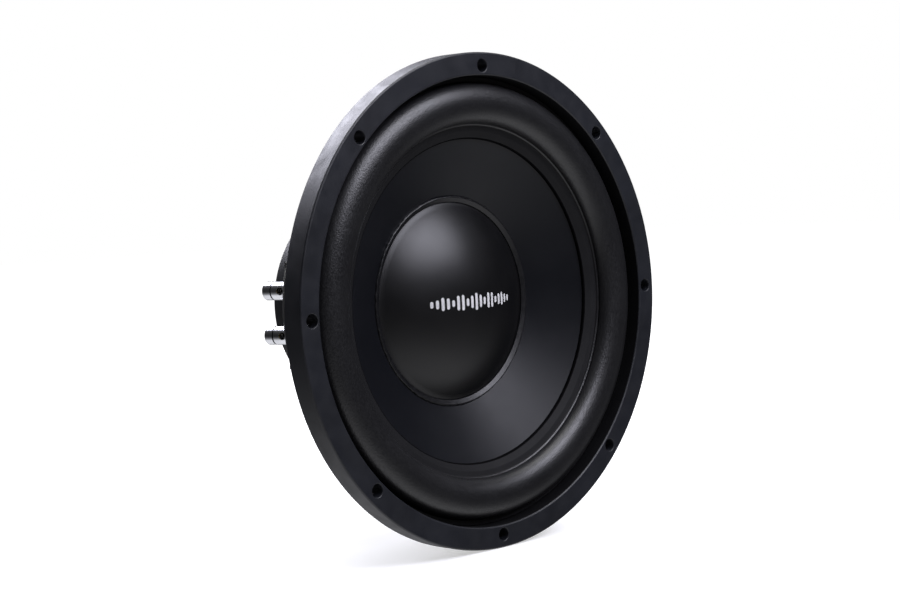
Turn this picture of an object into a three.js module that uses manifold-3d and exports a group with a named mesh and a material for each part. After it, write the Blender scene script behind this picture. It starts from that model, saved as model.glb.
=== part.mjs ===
// A 12-inch class car subwoofer driver, as separate solid pieces.
// Units are millimetres. The driver's axis is Y: the cone faces -Y, the magnet is at +Y, and +Z is up.
// The origin is on the axis, in the plane of the flange's rear face, which rests on the baffle board.
import * as THREE from 'three';
import { mergeVertices } from 'three/addons/utils/BufferGeometryUtils.js';
import Module from 'manifold-3d';

const wasm = await Module();
wasm.setup();

// ---- driving dimensions -------------------------------------------------------------------------
const GAP = 0.3;                  // clearance between pieces that touch

// rim
const RIM_RADIUS = 157.5;         // 315 mm across
const RIM_DEPTH = 15.1;           // front of the gasket to the baffle plane
const GASKET_INNER_RADIUS = 142.9;
const GASKET_EDGE = 1.2;          // rounding of the gasket's front edges
const SKIRT_THICKNESS = 2.4;      // the gasket's edge that laps round the flange
const BOLT_CIRCLE_RADIUS = 149;   // 298 mm bolt circle
const BOLT_COUNT = 8;
const GASKET_HOLE_RADIUS = 4.2;
const FLANGE_HOLE_RADIUS = 2.8;

// basket
const SHEET = 2;                  // steel thickness
const FLANGE_RADIUS = RIM_RADIUS - SKIRT_THICKNESS - GAP;
const SPOKE_COUNT = 6;
const SPOKE_HALF_ANGLE = radians(15);
const LEDGE_OUTER_RADIUS = 97;    // ring that carries the spider
const LEDGE_FRONT_Y = 48.6;
const FLOOR_FRONT_Y = 73;         // basket floor, riveted to the top plate
const FLOOR_RADIUS = 66;
const FLOOR_HOLE_RADIUS = 37;
const WALL = [                    // [radius, y] from the flange down to the shoulder
  [139, -SHEET / 2],
  [136.4, 2],
  [134.4, 10],
  [130, 28],
  [124.6, 41],
];
const LEDGE_WALL_RADIUS = 82;     // where the wall below the ledge starts
const WINDOW_OUTER_RADIUS = 134.2;
const WINDOW_INNER_RADIUS = 99.5;
const WINDOW_CORNER = 7;
const SLOT_HALF_LENGTH = 8;       // between the centres of a slot's round ends, halved
const SLOT_RADIUS = 4;
const SLOT_Y = 60;

// cone, dust cap and surround
const CONE_SLOPE = 0.52;          // depth gained per mm of radius
const CONE_OUTER_RADIUS = 113;
const CONE_OUTER_Y = -1.9;
const CONE_THICKNESS = 1.3;
const ROLL_CENTRE_RADIUS = 126;
const ROLL_HALF_WIDTH = 13;
const ROLL_HEIGHT = 10;
const ROLL_BASE_Y = -4.1;
const SURROUND_THICKNESS = 1.5;
const SURROUND_LAND_RADIUS = GASKET_INNER_RADIUS - 0.5;
const LIP_INNER_RADIUS = 103.7;   // inner edge of the surround's land on the cone
const CAP_RADIUS = 64;
const CAP_HEIGHT = 23.5;
const CAP_THICKNESS = 1.2;
const GLUE_RADIUS = 68;
const GLUE_HEIGHT = 1.9;

// voice coil and spider
const FORMER_INNER_RADIUS = 31.4;
const FORMER_OUTER_RADIUS = 32.2;
const FORMER_FRONT_Y = 37;
const FORMER_REAR_Y = 95;
const WINDING_LENGTH = 30;
const WINDING_INSET = 1.5;        // from the former's rear end
const WINDING_THICKNESS = 1.2;
const COLLAR_GLUE_WIDTH = 4;      // glue fillet between the cone's neck and the former
const COLLAR_GLUE_DEPTH = 2.6;
const SPIDER_OUTER_RADIUS = 93;
const SPIDER_ROLL_OUTER_RADIUS = 80;
const SPIDER_ROLL_INNER_RADIUS = 39;
const SPIDER_WAVES = 4;
const SPIDER_WAVE_HEIGHT = 2.2;
const SPIDER_THICKNESS = 1;

// motor
const TOP_PLATE_RADIUS = 66.5;
const TOP_PLATE_BORE_RADIUS = 34.6;
const PLATE_THICKNESS = 8;
const MAGNET_OUTER_RADIUS = 67;
const MAGNET_BORE_RADIUS = 40;
const MAGNET_THICKNESS = 26;
const POLE_RADIUS = 30.4;
const VENT_RADIUS = 12;
const VENT_FLARE = [5, 7];        // how far the vent widens, and over what length
const BACK_PLATE_RADIUS = 64;
const BOOT_THICKNESS = 3;
const BOOT_EDGE = 4.5;            // rounding of the boot's rear edge
const BOOT_OPENING_RADIUS = 42;
const BOOT_FRONT_Y = 79;
const MOTOR_RIVET_COUNT = 4;
const MOTOR_RIVET_CIRCLE = 52;
const MOTOR_RIVET_RADIUS = 2.5;
const MOTOR_RIVET_HEAD_RADIUS = 4.4;
const MOTOR_RIVET_LENGTH = 5;     // in the top plate

// push terminals
const TERMINAL_RADIUS = 103;      // where a terminal's base is, from the driver's axis
const TERMINAL_BASE_Y = 53;
const TERMINAL_SPACING = 28;
const TERMINAL_SPLAY = radians(13.5);
const PANEL_THICKNESS = 3.2;
const PANEL_OUTER_X = -11;
const PANEL_INNER_X = 6;
const PANEL_HALF_LENGTH = 23;
const PANEL_CORNER = 3;
const PANEL_RIVET_X = [-7, 2.5];
const PANEL_RIVET_RADIUS = 2;
const PANEL_RIVET_HEAD_RADIUS = 4;
const COLLAR_RADIUS = 6.5;
const COLLAR_HEIGHT = 3;
const POST_RADIUS = 2.6;
const POST_HOLE_RADIUS = 3.2;     // in the panel and in the basket
const POST_HEIGHT = 10.5;
const POST_DEPTH = 12.4;          // how far the post reaches in past the panel's outer face
const SLEEVE_RADIUS = 5.9;
const SLEEVE_BORE_RADIUS = 4.4;
const SLEEVE_LOW = 6.2;
const SLEEVE_HIGH = 17.1;
const WIRE_HOLE_RADIUS = 2.4;
const POST_WIRE_HOLE_RADIUS = 1.7;
const WIRE_HOLE_HEIGHT = 10;
const CAP_LOW = 17.9;
const SPIGOT_DEPTH = 1.6;
const TERMINAL_HEIGHT = 24;
const PUSH_TRAVEL = 3;            // the sleeve's hole meets the post's hole when pushed in
const SPRING_RADIUS = 2.4;
const SPRING_WIRE_RADIUS = 0.25;
const SPRING_TURNS = 3;
const WASHER_HIGH = -6.6;         // outer face of the insulating washer inside the basket
const WASHER_THICKNESS = 1.2;
const WASHER_RADIUS = 5.5;
const TAB_THICKNESS = 0.8;
const TAB_RING_RADIUS = 4.6;
const TAB_REACH = 9;
const TAB_HALF_WIDTH = 2;
const NUT_THICKNESS = 2.4;
const NUT_RADIUS = 4.6;           // to its corners

// tinsel leads
const LEAD_RADIUS = 0.9;
const LEAD_ROUTE = [              // the upper lead, from a solder tab's tongue to the cone's back
  [-100.8, 43.9, 23],
  [-99.9, 40.2, 22.9],
  [-95.5, 36.7, 21],
  [-86, 35.6, 18],
  [-76, 36.8, 15],
  [-67, 36.8, 12.6],
  [-60, 34.2, 11.2],
  [-56, 30.5, 10.5],
];

const FULL_TURN = Math.PI * 2;
const RIM_SEGMENTS = 72;
const RING_SEGMENTS = 40;
const BUTTON_SEGMENTS = 16;
const SMALL_SEGMENTS = 12;

// ---- materials ----------------------------------------------------------------------------------
const finish = {
  gasket: material(0x24262c, 0.62, 0),
  rubber: material(0x1c1d20, 0.7, 0),
  cone: material(0x1b1c1e, 0.45, 0),
  cap: material(0x1e1f22, 0.5, 0),
  glue: material(0x101112, 0.25, 0),
  paint: material(0x17181a, 0.4, 0.3),
  plate: material(0x2a2b2d, 0.4, 0.9),
  magnet: material(0x3a3a3c, 0.7, 0),
  cloth: material(0x8a6a3c, 0.9, 0),
  former: material(0xb9bcc0, 0.4, 0.9),
  copper: material(0xa8562c, 0.4, 0.9),
  chrome: material(0xd8d9dc, 0.1, 1),
  plastic: material(0x151618, 0.5, 0),
  brass: material(0xb39a5a, 0.35, 1),
  steel: material(0x8d9094, 0.35, 1),
};

function material(color, roughness, metalness) {
  return new THREE.MeshStandardMaterial({ color, roughness, metalness });
}

function radians(degrees) {
  return degrees * Math.PI / 180;
}

// ---- solids -------------------------------------------------------------------------------------

// Turns a closed three.js geometry into a solid, with its shared vertices merged.
function solid(geometry) {
  const open = geometry.clone();
  open.deleteAttribute('normal');
  open.deleteAttribute('uv');
  const merged = mergeVertices(open, 1e-4);
  const index = merged.index.array;
  const triangles = [];
  for (let i = 0; i < index.length; i += 3) {
    const [a, b, c] = [index[i], index[i + 1], index[i + 2]];
    if (a !== b && b !== c && c !== a) triangles.push(a, b, c);
  }
  return new wasm.Manifold(new wasm.Mesh({
    numProp: 3,
    vertProperties: new Float32Array(merged.attributes.position.array),
    triVerts: new Uint32Array(triangles),
  }));
}

// Turns a solid back into a named three.js mesh.
function piece(name, body, look) {
  const result = body.getMesh();
  const geometry = new THREE.BufferGeometry();
  geometry.setAttribute('position', new THREE.BufferAttribute(result.vertProperties, 3));
  geometry.setIndex(new THREE.BufferAttribute(result.triVerts, 1));
  geometry.computeVertexNormals();
  const mesh = new THREE.Mesh(geometry, look);
  mesh.name = name;
  return mesh;
}

// Twice the signed area that an outline of [radius, y] points goes round.
function turning(outline) {
  let sum = 0;
  outline.forEach(([r0, y0], i) => {
    const [r1, y1] = outline[(i + 1) % outline.length];
    sum += r0 * y1 - r1 * y0;
  });
  return sum;
}

// Revolves an outline of [radius, y] points about the Y axis. An outline that starts on the axis
// ends on it, and any other closes on itself.
function revolve(outline, segments = RING_SEGMENTS) {
  const ordered = turning(outline) > 0 ? outline : outline.slice().reverse();
  const points = ordered.map(([r, y]) => new THREE.Vector2(r, y));
  if (points[0].x > 0) points.push(points[0].clone());
  return solid(new THREE.LatheGeometry(points, segments));
}

function tube(inner, outer, low, high, segments = RING_SEGMENTS) {
  return revolve([[inner, low], [outer, low], [outer, high], [inner, high]], segments);
}

function rod(radius, low, high, segments = SMALL_SEGMENTS) {
  return revolve([[0, low], [radius, low], [radius, high], [0, high]], segments);
}

// Moves a solid by a rotation about Y (radians) after an offset.
function placed(body, offset, turn = 0) {
  return body.translate(offset).rotate([0, THREE.MathUtils.radToDeg(turn), 0]);
}

// A rod that lies along X, through both sides of a tube.
function crossRod(radius, halfLength, height) {
  return rod(radius, -halfLength, halfLength).rotate([0, 0, 90]).translate([0, height, 0]);
}

// Points on an arc about [r, y], from one angle to another in degrees.
function arc(r, y, radius, from, to, steps) {
  return Array.from({ length: steps + 1 }, (_, i) => {
    const angle = radians(from + (to - from) * i / steps);
    return [r + radius * Math.cos(angle), y + radius * Math.sin(angle)];
  });
}

// Gives a line of [radius, y] points a thickness, half to each side, as a closed outline.
function sheetOutline(line, thickness) {
  const side = (sign) => line.map(([r, y], i) => {
    const [r0, y0] = line[Math.max(i - 1, 0)];
    const [r1, y1] = line[Math.min(i + 1, line.length - 1)];
    const length = Math.hypot(r1 - r0, y1 - y0);
    const half = sign * thickness / 2;
    return [r - half * (y1 - y0) / length, y + half * (r1 - r0) / length];
  });
  return [...side(1), ...side(-1).reverse()];
}

// An extrusion of a shape in X and Z along Y, from low to high.
function extrudeAlongY(shape, low, high, curveSegments = 3) {
  const geometry = new THREE.ExtrudeGeometry(shape, {
    depth: high - low, bevelEnabled: false, curveSegments,
  });
  geometry.rotateX(Math.PI / 2);
  geometry.translate(0, high, 0);
  return solid(geometry);
}

// A part of a ring with rounded corners, centred on the X axis.
function sectorShape(inner, outer, halfAngle, corner) {
  const outerAngle = halfAngle - Math.asin(corner / (outer - corner));
  const innerAngle = halfAngle - Math.asin(corner / (inner + corner));
  const shape = new THREE.Shape();
  const cornerArc = (radius, angle, from, to) => shape.absarc(
    radius * Math.cos(angle), radius * Math.sin(angle), corner, from, to, false);
  const quarter = Math.PI / 2;
  shape.absarc(0, 0, outer, -outerAngle, outerAngle, false);
  cornerArc(outer - corner, outerAngle, outerAngle, halfAngle + quarter);
  cornerArc(inner + corner, innerAngle, halfAngle + quarter, innerAngle + Math.PI);
  shape.absarc(0, 0, inner, innerAngle, -innerAngle, true);
  cornerArc(inner + corner, -innerAngle, Math.PI - innerAngle, FULL_TURN - halfAngle - quarter);
  cornerArc(outer - corner, -outerAngle, -halfAngle - quarter, -outerAngle);
  return shape;
}

// The front face of the cone, behind the baffle plane's origin.
function coneY(radius) {
  return CONE_OUTER_Y + CONE_SLOPE * (CONE_OUTER_RADIUS - radius);
}

// ---- rim ----------------------------------------------------------------------------------------

function gasketRing() {
  const e = GASKET_EDGE;
  const front = -RIM_DEPTH;
  const seat = -SHEET - GAP;
  const outline = [
    ...arc(GASKET_INNER_RADIUS + e, front + e, e, 180, 270, 2),
    ...arc(RIM_RADIUS - e, front + e, e, -90, 0, 2),
    [RIM_RADIUS, 0],
    [RIM_RADIUS - SKIRT_THICKNESS, 0],
    [RIM_RADIUS - SKIRT_THICKNESS, seat],
    [GASKET_INNER_RADIUS, seat],
  ];
  return drilled(revolve(outline, RIM_SEGMENTS), GASKET_HOLE_RADIUS);
}

// Cuts the ring of screw holes.
function drilled(ring, holeRadius) {
  for (let i = 0; i < BOLT_COUNT; i += 1) {
    const hole = rod(holeRadius, -RIM_DEPTH - 1, 5);
    ring = ring.subtract(placed(hole, [BOLT_CIRCLE_RADIUS, 0, 0], i * FULL_TURN / BOLT_COUNT));
  }
  return ring;
}

// ---- basket -------------------------------------------------------------------------------------

function basket() {
  const half = SHEET / 2;
  const ledgeY = LEDGE_FRONT_Y + half;
  const floorY = FLOOR_FRONT_Y + half;
  const shoulderRise = Math.tan(TERMINAL_SPLAY);
  const shoulderY = (radius) => ledgeY + (LEDGE_OUTER_RADIUS - radius) * shoulderRise;
  const line = [
    [FLANGE_RADIUS, -half],
    ...WALL,
    [120, shoulderY(119)],
    [LEDGE_OUTER_RADIUS + 1, shoulderY(LEDGE_OUTER_RADIUS + 1)],
    [LEDGE_OUTER_RADIUS - 2, ledgeY],
    [LEDGE_WALL_RADIUS, ledgeY],
    [LEDGE_WALL_RADIUS - 3.5, ledgeY + 3],
    [FLOOR_RADIUS + 5, floorY - 6],
    [FLOOR_RADIUS, floorY],
    [FLOOR_HOLE_RADIUS, floorY],
  ];
  let body = drilled(revolve(sheetOutline(line, SHEET)), FLANGE_HOLE_RADIUS);
  body = body.subtract(spokeWindows()).subtract(floorSlots());
  for (const side of [1, -1]) {
    const postHole = rod(POST_HOLE_RADIUS, -POST_DEPTH, 1);
    body = body.subtract(onPanel(postHole, 0, side * TERMINAL_SPACING / 2));
  }
  for (const x of PANEL_RIVET_X) {
    body = body.subtract(onPanel(rod(PANEL_RIVET_RADIUS + GAP, -POST_DEPTH, 1), x, 0));
  }
  return body.subtract(motorRivetHoles(FLOOR_FRONT_Y - 1, FLOOR_FRONT_Y + SHEET + 1));
}

// The openings between the spokes, cut straight through along the axis.
function spokeWindows() {
  const halfAngle = Math.PI / SPOKE_COUNT - SPOKE_HALF_ANGLE;
  const shape = sectorShape(WINDOW_INNER_RADIUS, WINDOW_OUTER_RADIUS, halfAngle, WINDOW_CORNER);
  const window = extrudeAlongY(shape, 5, SLOT_Y);
  let all = window.rotate([0, 180 / SPOKE_COUNT, 0]);
  for (let i = 1; i < SPOKE_COUNT; i += 1) {
    all = all.add(window.rotate([0, 180 / SPOKE_COUNT + i * 360 / SPOKE_COUNT, 0]));
  }
  return all;
}

// Vent slots in the wall between the spider's ledge and the floor.
function floorSlots() {
  const slot = new THREE.Shape();
  slot.absarc(-SLOT_HALF_LENGTH, 0, SLOT_RADIUS, Math.PI / 2, Math.PI * 1.5, false);
  slot.absarc(SLOT_HALF_LENGTH, 0, SLOT_RADIUS, -Math.PI / 2, Math.PI / 2, false);
  const cutter = solid(new THREE.ExtrudeGeometry(slot, {
    depth: 26, bevelEnabled: false, curveSegments: 3,
  })).translate([0, SLOT_Y, FLOOR_RADIUS - 4]);
  let all = cutter;
  for (let i = 1; i < SPOKE_COUNT; i += 1) {
    all = all.add(cutter.rotate([0, i * 360 / SPOKE_COUNT, 0]));
  }
  return all;
}

function motorRivetTurn(i) {
  return (i + 0.5) * FULL_TURN / MOTOR_RIVET_COUNT;
}

// Rods that clear the motor rivets, from low to high.
function motorRivetHoles(low, high) {
  const hole = rod(MOTOR_RIVET_RADIUS + GAP, low, high);
  let all = placed(hole, [MOTOR_RIVET_CIRCLE, 0, 0], motorRivetTurn(0));
  for (let i = 1; i < MOTOR_RIVET_COUNT; i += 1) {
    all = all.add(placed(hole, [MOTOR_RIVET_CIRCLE, 0, 0], motorRivetTurn(i)));
  }
  return all;
}

// Puts a solid from the terminal panel's own frame into the driver's.
function onPanel(body, x, z) {
  return body
    .translate([x, 0, z])
    .rotate([0, 0, THREE.MathUtils.radToDeg(TERMINAL_SPLAY)])
    .translate([-TERMINAL_RADIUS, TERMINAL_BASE_Y, 0]);
}

// ---- cone, surround and dust cap ----------------------------------------------------------------

// A half roll between two lands: the outer one on the flange, the inner one on the cone's lip.
function surround() {
  const t = SURROUND_THICKNESS;
  const landY = -SHEET - GAP - t / 2;
  const lip = (radius) => [radius, coneY(radius) - GAP - t / 2];
  const roll = arc(0, 0, 1, 0, 180, 8).map(([x, y]) => [
    ROLL_CENTRE_RADIUS + x * (ROLL_HALF_WIDTH - t / 2),
    ROLL_BASE_Y - y * (ROLL_HEIGHT - t / 2),
  ]);
  const line = [
    [SURROUND_LAND_RADIUS, landY],
    [ROLL_CENTRE_RADIUS + ROLL_HALF_WIDTH + 1, landY],
    ...roll.slice(1, -1),
    [CONE_OUTER_RADIUS - 0.4, lip(CONE_OUTER_RADIUS - 0.4)[1]],
    lip(LIP_INNER_RADIUS),
  ];
  return revolve(sheetOutline(line, t));
}

function cone() {
  const neck = FORMER_OUTER_RADIUS + GAP;
  return revolve([
    [CONE_OUTER_RADIUS, coneY(CONE_OUTER_RADIUS)],
    [CONE_OUTER_RADIUS, coneY(CONE_OUTER_RADIUS) + CONE_THICKNESS],
    [neck, coneY(neck) + CONE_THICKNESS],
    [neck, coneY(neck)],
  ]);
}

// Points from the top of a dome to its edge.
function domeLine(radius, height, baseY) {
  const sphere = (radius ** 2 + height ** 2) / (2 * height);
  const edge = THREE.MathUtils.radToDeg(Math.asin(radius / sphere));
  const line = arc(0, baseY - height + sphere, sphere, -90, -90 + edge, 5);
  line[0][0] = 0;
  return line;
}

// A shallow dome whose edge rests on the cone.
function dustCap() {
  const baseY = coneY(CAP_RADIUS) - GAP;
  const outside = domeLine(CAP_RADIUS, CAP_HEIGHT, baseY);
  const inside = domeLine(CAP_RADIUS - CAP_THICKNESS, CAP_HEIGHT - CAP_THICKNESS, baseY);
  return revolve([...outside, ...inside.reverse()]);
}

function capGlueBead() {
  const inner = CAP_RADIUS + GAP;
  const crest = GLUE_RADIUS - 0.8;
  return revolve([
    [inner, coneY(inner) - GAP],
    [inner, coneY(inner) - GLUE_HEIGHT],
    [crest, coneY(crest) - GLUE_HEIGHT],
    [GLUE_RADIUS, coneY(GLUE_RADIUS) - GAP],
  ]);
}

// ---- voice coil and spider ----------------------------------------------------------------------

function formerGlueCollar() {
  const inner = FORMER_OUTER_RADIUS + GAP;
  const rear = coneY(inner) + CONE_THICKNESS;
  return revolve([
    [inner, rear + GAP],
    [inner + COLLAR_GLUE_WIDTH, rear + GAP - COLLAR_GLUE_WIDTH * CONE_SLOPE],
    [inner, rear + COLLAR_GLUE_DEPTH],
  ]);
}

function winding() {
  const inner = FORMER_OUTER_RADIUS + GAP;
  const rear = FORMER_REAR_Y - WINDING_INSET;
  return tube(inner, inner + WINDING_THICKNESS, rear - WINDING_LENGTH, rear);
}

function spider() {
  const landY = LEDGE_FRONT_Y - GAP - SPIDER_THICKNESS / 2;
  const crests = SPIDER_WAVES * 2;
  const step = (SPIDER_ROLL_OUTER_RADIUS - SPIDER_ROLL_INNER_RADIUS) / crests;
  const waves = Array.from({ length: crests }, (_, i) => [
    SPIDER_ROLL_OUTER_RADIUS - step * (i + 0.5),
    landY + SPIDER_WAVE_HEIGHT * (i % 2 === 0 ? -1 : 1),
  ]);
  const line = [
    [SPIDER_OUTER_RADIUS, landY],
    [SPIDER_ROLL_OUTER_RADIUS, landY],
    ...waves,
    [SPIDER_ROLL_INNER_RADIUS, landY],
    [FORMER_OUTER_RADIUS + GAP, landY],
  ];
  return revolve(sheetOutline(line, SPIDER_THICKNESS));
}

// ---- motor --------------------------------------------------------------------------------------

const topPlateY = FLOOR_FRONT_Y + SHEET + GAP;
const magnetY = topPlateY + PLATE_THICKNESS + GAP;
const backPlateY = magnetY + MAGNET_THICKNESS + GAP;
const backPlateRearY = backPlateY + PLATE_THICKNESS;
const bootRearY = backPlateRearY + GAP + BOOT_THICKNESS;

function topPlate() {
  const plate = tube(TOP_PLATE_BORE_RADIUS, TOP_PLATE_RADIUS, topPlateY, topPlateY + PLATE_THICKNESS);
  return plate.subtract(motorRivetHoles(topPlateY - 1, topPlateY + MOTOR_RIVET_LENGTH + 1));
}

// The back plate and its pole, in one piece, with a vent through the pole.
function tYoke() {
  const [flareWidth, flareLength] = VENT_FLARE;
  return revolve([
    [VENT_RADIUS, topPlateY - 1],
    [POLE_RADIUS - 1, topPlateY - 1],
    [POLE_RADIUS, topPlateY],
    [POLE_RADIUS, backPlateY],
    [BACK_PLATE_RADIUS, backPlateY],
    [BACK_PLATE_RADIUS, backPlateRearY],
    [VENT_RADIUS + flareWidth, backPlateRearY],
    [VENT_RADIUS, backPlateRearY - flareLength],
  ]);
}

// A rubber cup over the magnet, open in the middle of its rear face.
function magnetBoot() {
  const inner = MAGNET_OUTER_RADIUS + GAP;
  const outer = inner + BOOT_THICKNESS;
  return revolve([
    [inner, BOOT_FRONT_Y],
    [outer - 1, BOOT_FRONT_Y],
    [outer, BOOT_FRONT_Y + 1],
    ...arc(outer - BOOT_EDGE, bootRearY - BOOT_EDGE, BOOT_EDGE, 0, 90, 3),
    ...arc(BOOT_OPENING_RADIUS + 1.5, bootRearY - 1.5, 1.5, 90, 180, 1),
    [BOOT_OPENING_RADIUS, backPlateRearY + GAP],
    [inner, backPlateRearY + GAP],
  ]);
}

// A pan head with its shank, the head in front.
function motorRivet() {
  const head = FLOOR_FRONT_Y - GAP;
  const end = topPlateY + MOTOR_RIVET_LENGTH;
  return revolve([
    [0, head - 2],
    [MOTOR_RIVET_HEAD_RADIUS - 1, head - 2],
    [MOTOR_RIVET_HEAD_RADIUS, head - 0.8],
    [MOTOR_RIVET_HEAD_RADIUS, head],
    [MOTOR_RIVET_RADIUS, head],
    [MOTOR_RIVET_RADIUS, end],
    [0, end],
  ], SMALL_SEGMENTS);
}

// ---- push terminals, in the terminal panel's own frame ------------------------------------------
// There y = 0 is the panel's outer face and +y is the way a terminal points.

function terminalPanel() {
  const shape = roundedPlate(PANEL_OUTER_X, PANEL_INNER_X, PANEL_HALF_LENGTH, PANEL_CORNER);
  for (const side of [1, -1]) {
    shape.holes.push(circle(0, side * TERMINAL_SPACING / 2, POST_HOLE_RADIUS));
  }
  for (const x of PANEL_RIVET_X) {
    shape.holes.push(circle(x, 0, PANEL_RIVET_RADIUS + GAP));
  }
  return extrudeAlongY(shape, -PANEL_THICKNESS, 0);
}

function roundedPlate(x0, x1, halfLength, corner) {
  const quarter = Math.PI / 2;
  const shape = new THREE.Shape();
  shape.absarc(x1 - corner, halfLength - corner, corner, 0, quarter, false);
  shape.absarc(x0 + corner, halfLength - corner, corner, quarter, 2 * quarter, false);
  shape.absarc(x0 + corner, corner - halfLength, corner, 2 * quarter, 3 * quarter, false);
  shape.absarc(x1 - corner, corner - halfLength, corner, 3 * quarter, FULL_TURN, false);
  return shape;
}

// A round hole, drawn with as many sides as the rods that go in it.
function circle(x, y, radius) {
  const path = new THREE.Path();
  for (let i = 0; i <= SMALL_SEGMENTS; i += 1) {
    const angle = -i * FULL_TURN / SMALL_SEGMENTS;
    const point = [x + radius * Math.cos(angle), y + radius * Math.sin(angle)];
    if (i === 0) path.moveTo(...point);
    else path.lineTo(...point);
  }
  return path;
}

function panelRivet() {
  const tail = WASHER_HIGH - 1.2;
  return revolve([
    [0, GAP + 2],
    [PANEL_RIVET_HEAD_RADIUS - 1.4, GAP + 2],
    [PANEL_RIVET_HEAD_RADIUS, GAP + 1],
    [PANEL_RIVET_HEAD_RADIUS, GAP],
    [PANEL_RIVET_RADIUS, GAP],
    [PANEL_RIVET_RADIUS, WASHER_HIGH],
    [PANEL_RIVET_RADIUS + 1, WASHER_HIGH],
    [PANEL_RIVET_RADIUS + 1, tail],
    [0, tail],
  ], SMALL_SEGMENTS);
}

function collar() {
  return revolve([
    [POST_RADIUS + GAP, GAP],
    [COLLAR_RADIUS, GAP],
    [COLLAR_RADIUS, COLLAR_HEIGHT - 1],
    [COLLAR_RADIUS - 1, COLLAR_HEIGHT],
    [POST_RADIUS + GAP, COLLAR_HEIGHT],
  ], SMALL_SEGMENTS);
}

function post() {
  const body = revolve([
    [0, -POST_DEPTH],
    [POST_RADIUS - 0.4, -POST_DEPTH],
    [POST_RADIUS, -POST_DEPTH + 0.6],
    [POST_RADIUS, POST_HEIGHT - 0.5],
    [POST_RADIUS - 0.5, POST_HEIGHT],
    [0, POST_HEIGHT],
  ], SMALL_SEGMENTS);
  return body.subtract(crossRod(POST_WIRE_HOLE_RADIUS, POST_RADIUS + 1, WIRE_HOLE_HEIGHT - PUSH_TRAVEL));
}

function sleeve() {
  const body = revolve([
    [SLEEVE_BORE_RADIUS, SLEEVE_LOW],
    [SLEEVE_RADIUS - 0.4, SLEEVE_LOW],
    [SLEEVE_RADIUS, SLEEVE_LOW + 0.4],
    [SLEEVE_RADIUS, SLEEVE_HIGH - 0.3],
    [SLEEVE_RADIUS - 0.3, SLEEVE_HIGH],
    [SLEEVE_BORE_RADIUS, SLEEVE_HIGH],
  ], BUTTON_SEGMENTS);
  return body.subtract(crossRod(WIRE_HOLE_RADIUS, SLEEVE_RADIUS + 1, WIRE_HOLE_HEIGHT));
}

// The end of the push button: a spigot in the sleeve's bore and a flat round head.
function buttonCap() {
  const spigot = SLEEVE_BORE_RADIUS - GAP;
  return revolve([
    [0, CAP_LOW - SPIGOT_DEPTH],
    [spigot, CAP_LOW - SPIGOT_DEPTH],
    [spigot, CAP_LOW],
    [SLEEVE_RADIUS - 0.3, CAP_LOW],
    [SLEEVE_RADIUS, CAP_LOW + 0.3],
    [SLEEVE_RADIUS, TERMINAL_HEIGHT - 0.7],
    [SLEEVE_RADIUS - 0.7, TERMINAL_HEIGHT],
    [0, TERMINAL_HEIGHT],
  ], BUTTON_SEGMENTS);
}

// A compression spring between the post's end and the cap's spigot.
function pushSpring() {
  const low = POST_HEIGHT + GAP + SPRING_WIRE_RADIUS;
  const high = CAP_LOW - SPIGOT_DEPTH - GAP - SPRING_WIRE_RADIUS;
  class Helix extends THREE.Curve {
    getPoint(t, target = new THREE.Vector3()) {
      const angle = t * SPRING_TURNS * FULL_TURN;
      const [x, z] = [SPRING_RADIUS * Math.cos(angle), SPRING_RADIUS * Math.sin(angle)];
      return target.set(x, low + (high - low) * t, z);
    }
  }
  return sweep(new Helix(), SPRING_WIRE_RADIUS, SPRING_TURNS * 8, 5);
}

// A round wire along a curve.
function sweep(curve, radius, steps, sides) {
  const section = new THREE.Shape();
  for (let i = 0; i < sides; i += 1) {
    const angle = i * FULL_TURN / sides;
    const [x, y] = [radius * Math.cos(angle), radius * Math.sin(angle)];
    if (i === 0) section.moveTo(x, y);
    else section.lineTo(x, y);
  }
  return solid(new THREE.ExtrudeGeometry(section, { steps, extrudePath: curve, bevelEnabled: false }));
}

// A ring on the post with a tongue that the lead is soldered to. The tongue points away from the
// other terminal.
function solderTab(side) {
  const high = WASHER_HIGH - WASHER_THICKNESS - GAP;
  const start = Math.asin(TAB_HALF_WIDTH / TAB_RING_RADIUS);
  const shape = new THREE.Shape();
  shape.absarc(0, 0, TAB_RING_RADIUS, Math.PI / 2 + start, Math.PI / 2 - start + FULL_TURN, false);
  shape.lineTo(TAB_HALF_WIDTH, TAB_REACH);
  shape.absarc(0, TAB_REACH, TAB_HALF_WIDTH, 0, Math.PI, false);
  shape.holes.push(circle(0, 0, POST_RADIUS + GAP));
  const tab = extrudeAlongY(shape, high - TAB_THICKNESS, high);
  return side > 0 ? tab : tab.rotate([0, 180, 0]);
}

// An insulating washer between the basket and the solder tab.
function washer() {
  const low = WASHER_HIGH - WASHER_THICKNESS;
  return tube(POST_RADIUS + GAP, WASHER_RADIUS, low, WASHER_HIGH, SMALL_SEGMENTS);
}

function nut() {
  const high = WASHER_HIGH - WASHER_THICKNESS - TAB_THICKNESS - 2 * GAP;
  const shape = new THREE.Shape();
  for (let i = 0; i < 6; i += 1) {
    const angle = i * FULL_TURN / 6;
    const corner = [NUT_RADIUS * Math.cos(angle), NUT_RADIUS * Math.sin(angle)];
    if (i === 0) shape.moveTo(...corner);
    else shape.lineTo(...corner);
  }
  shape.holes.push(circle(0, 0, POST_RADIUS + GAP));
  return extrudeAlongY(shape, high - NUT_THICKNESS, high);
}

// ---- tinsel leads -------------------------------------------------------------------------------

// A braided lead from a solder tab's tongue over the spider to the back of the cone.
function tinselLead(side) {
  const points = LEAD_ROUTE.map(([x, y, z]) => new THREE.Vector3(x, y, side * z));
  return sweep(new THREE.CatmullRomCurve3(points, false, 'centripetal'), LEAD_RADIUS, 20, 6);
}

// ---- assembly -----------------------------------------------------------------------------------

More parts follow.
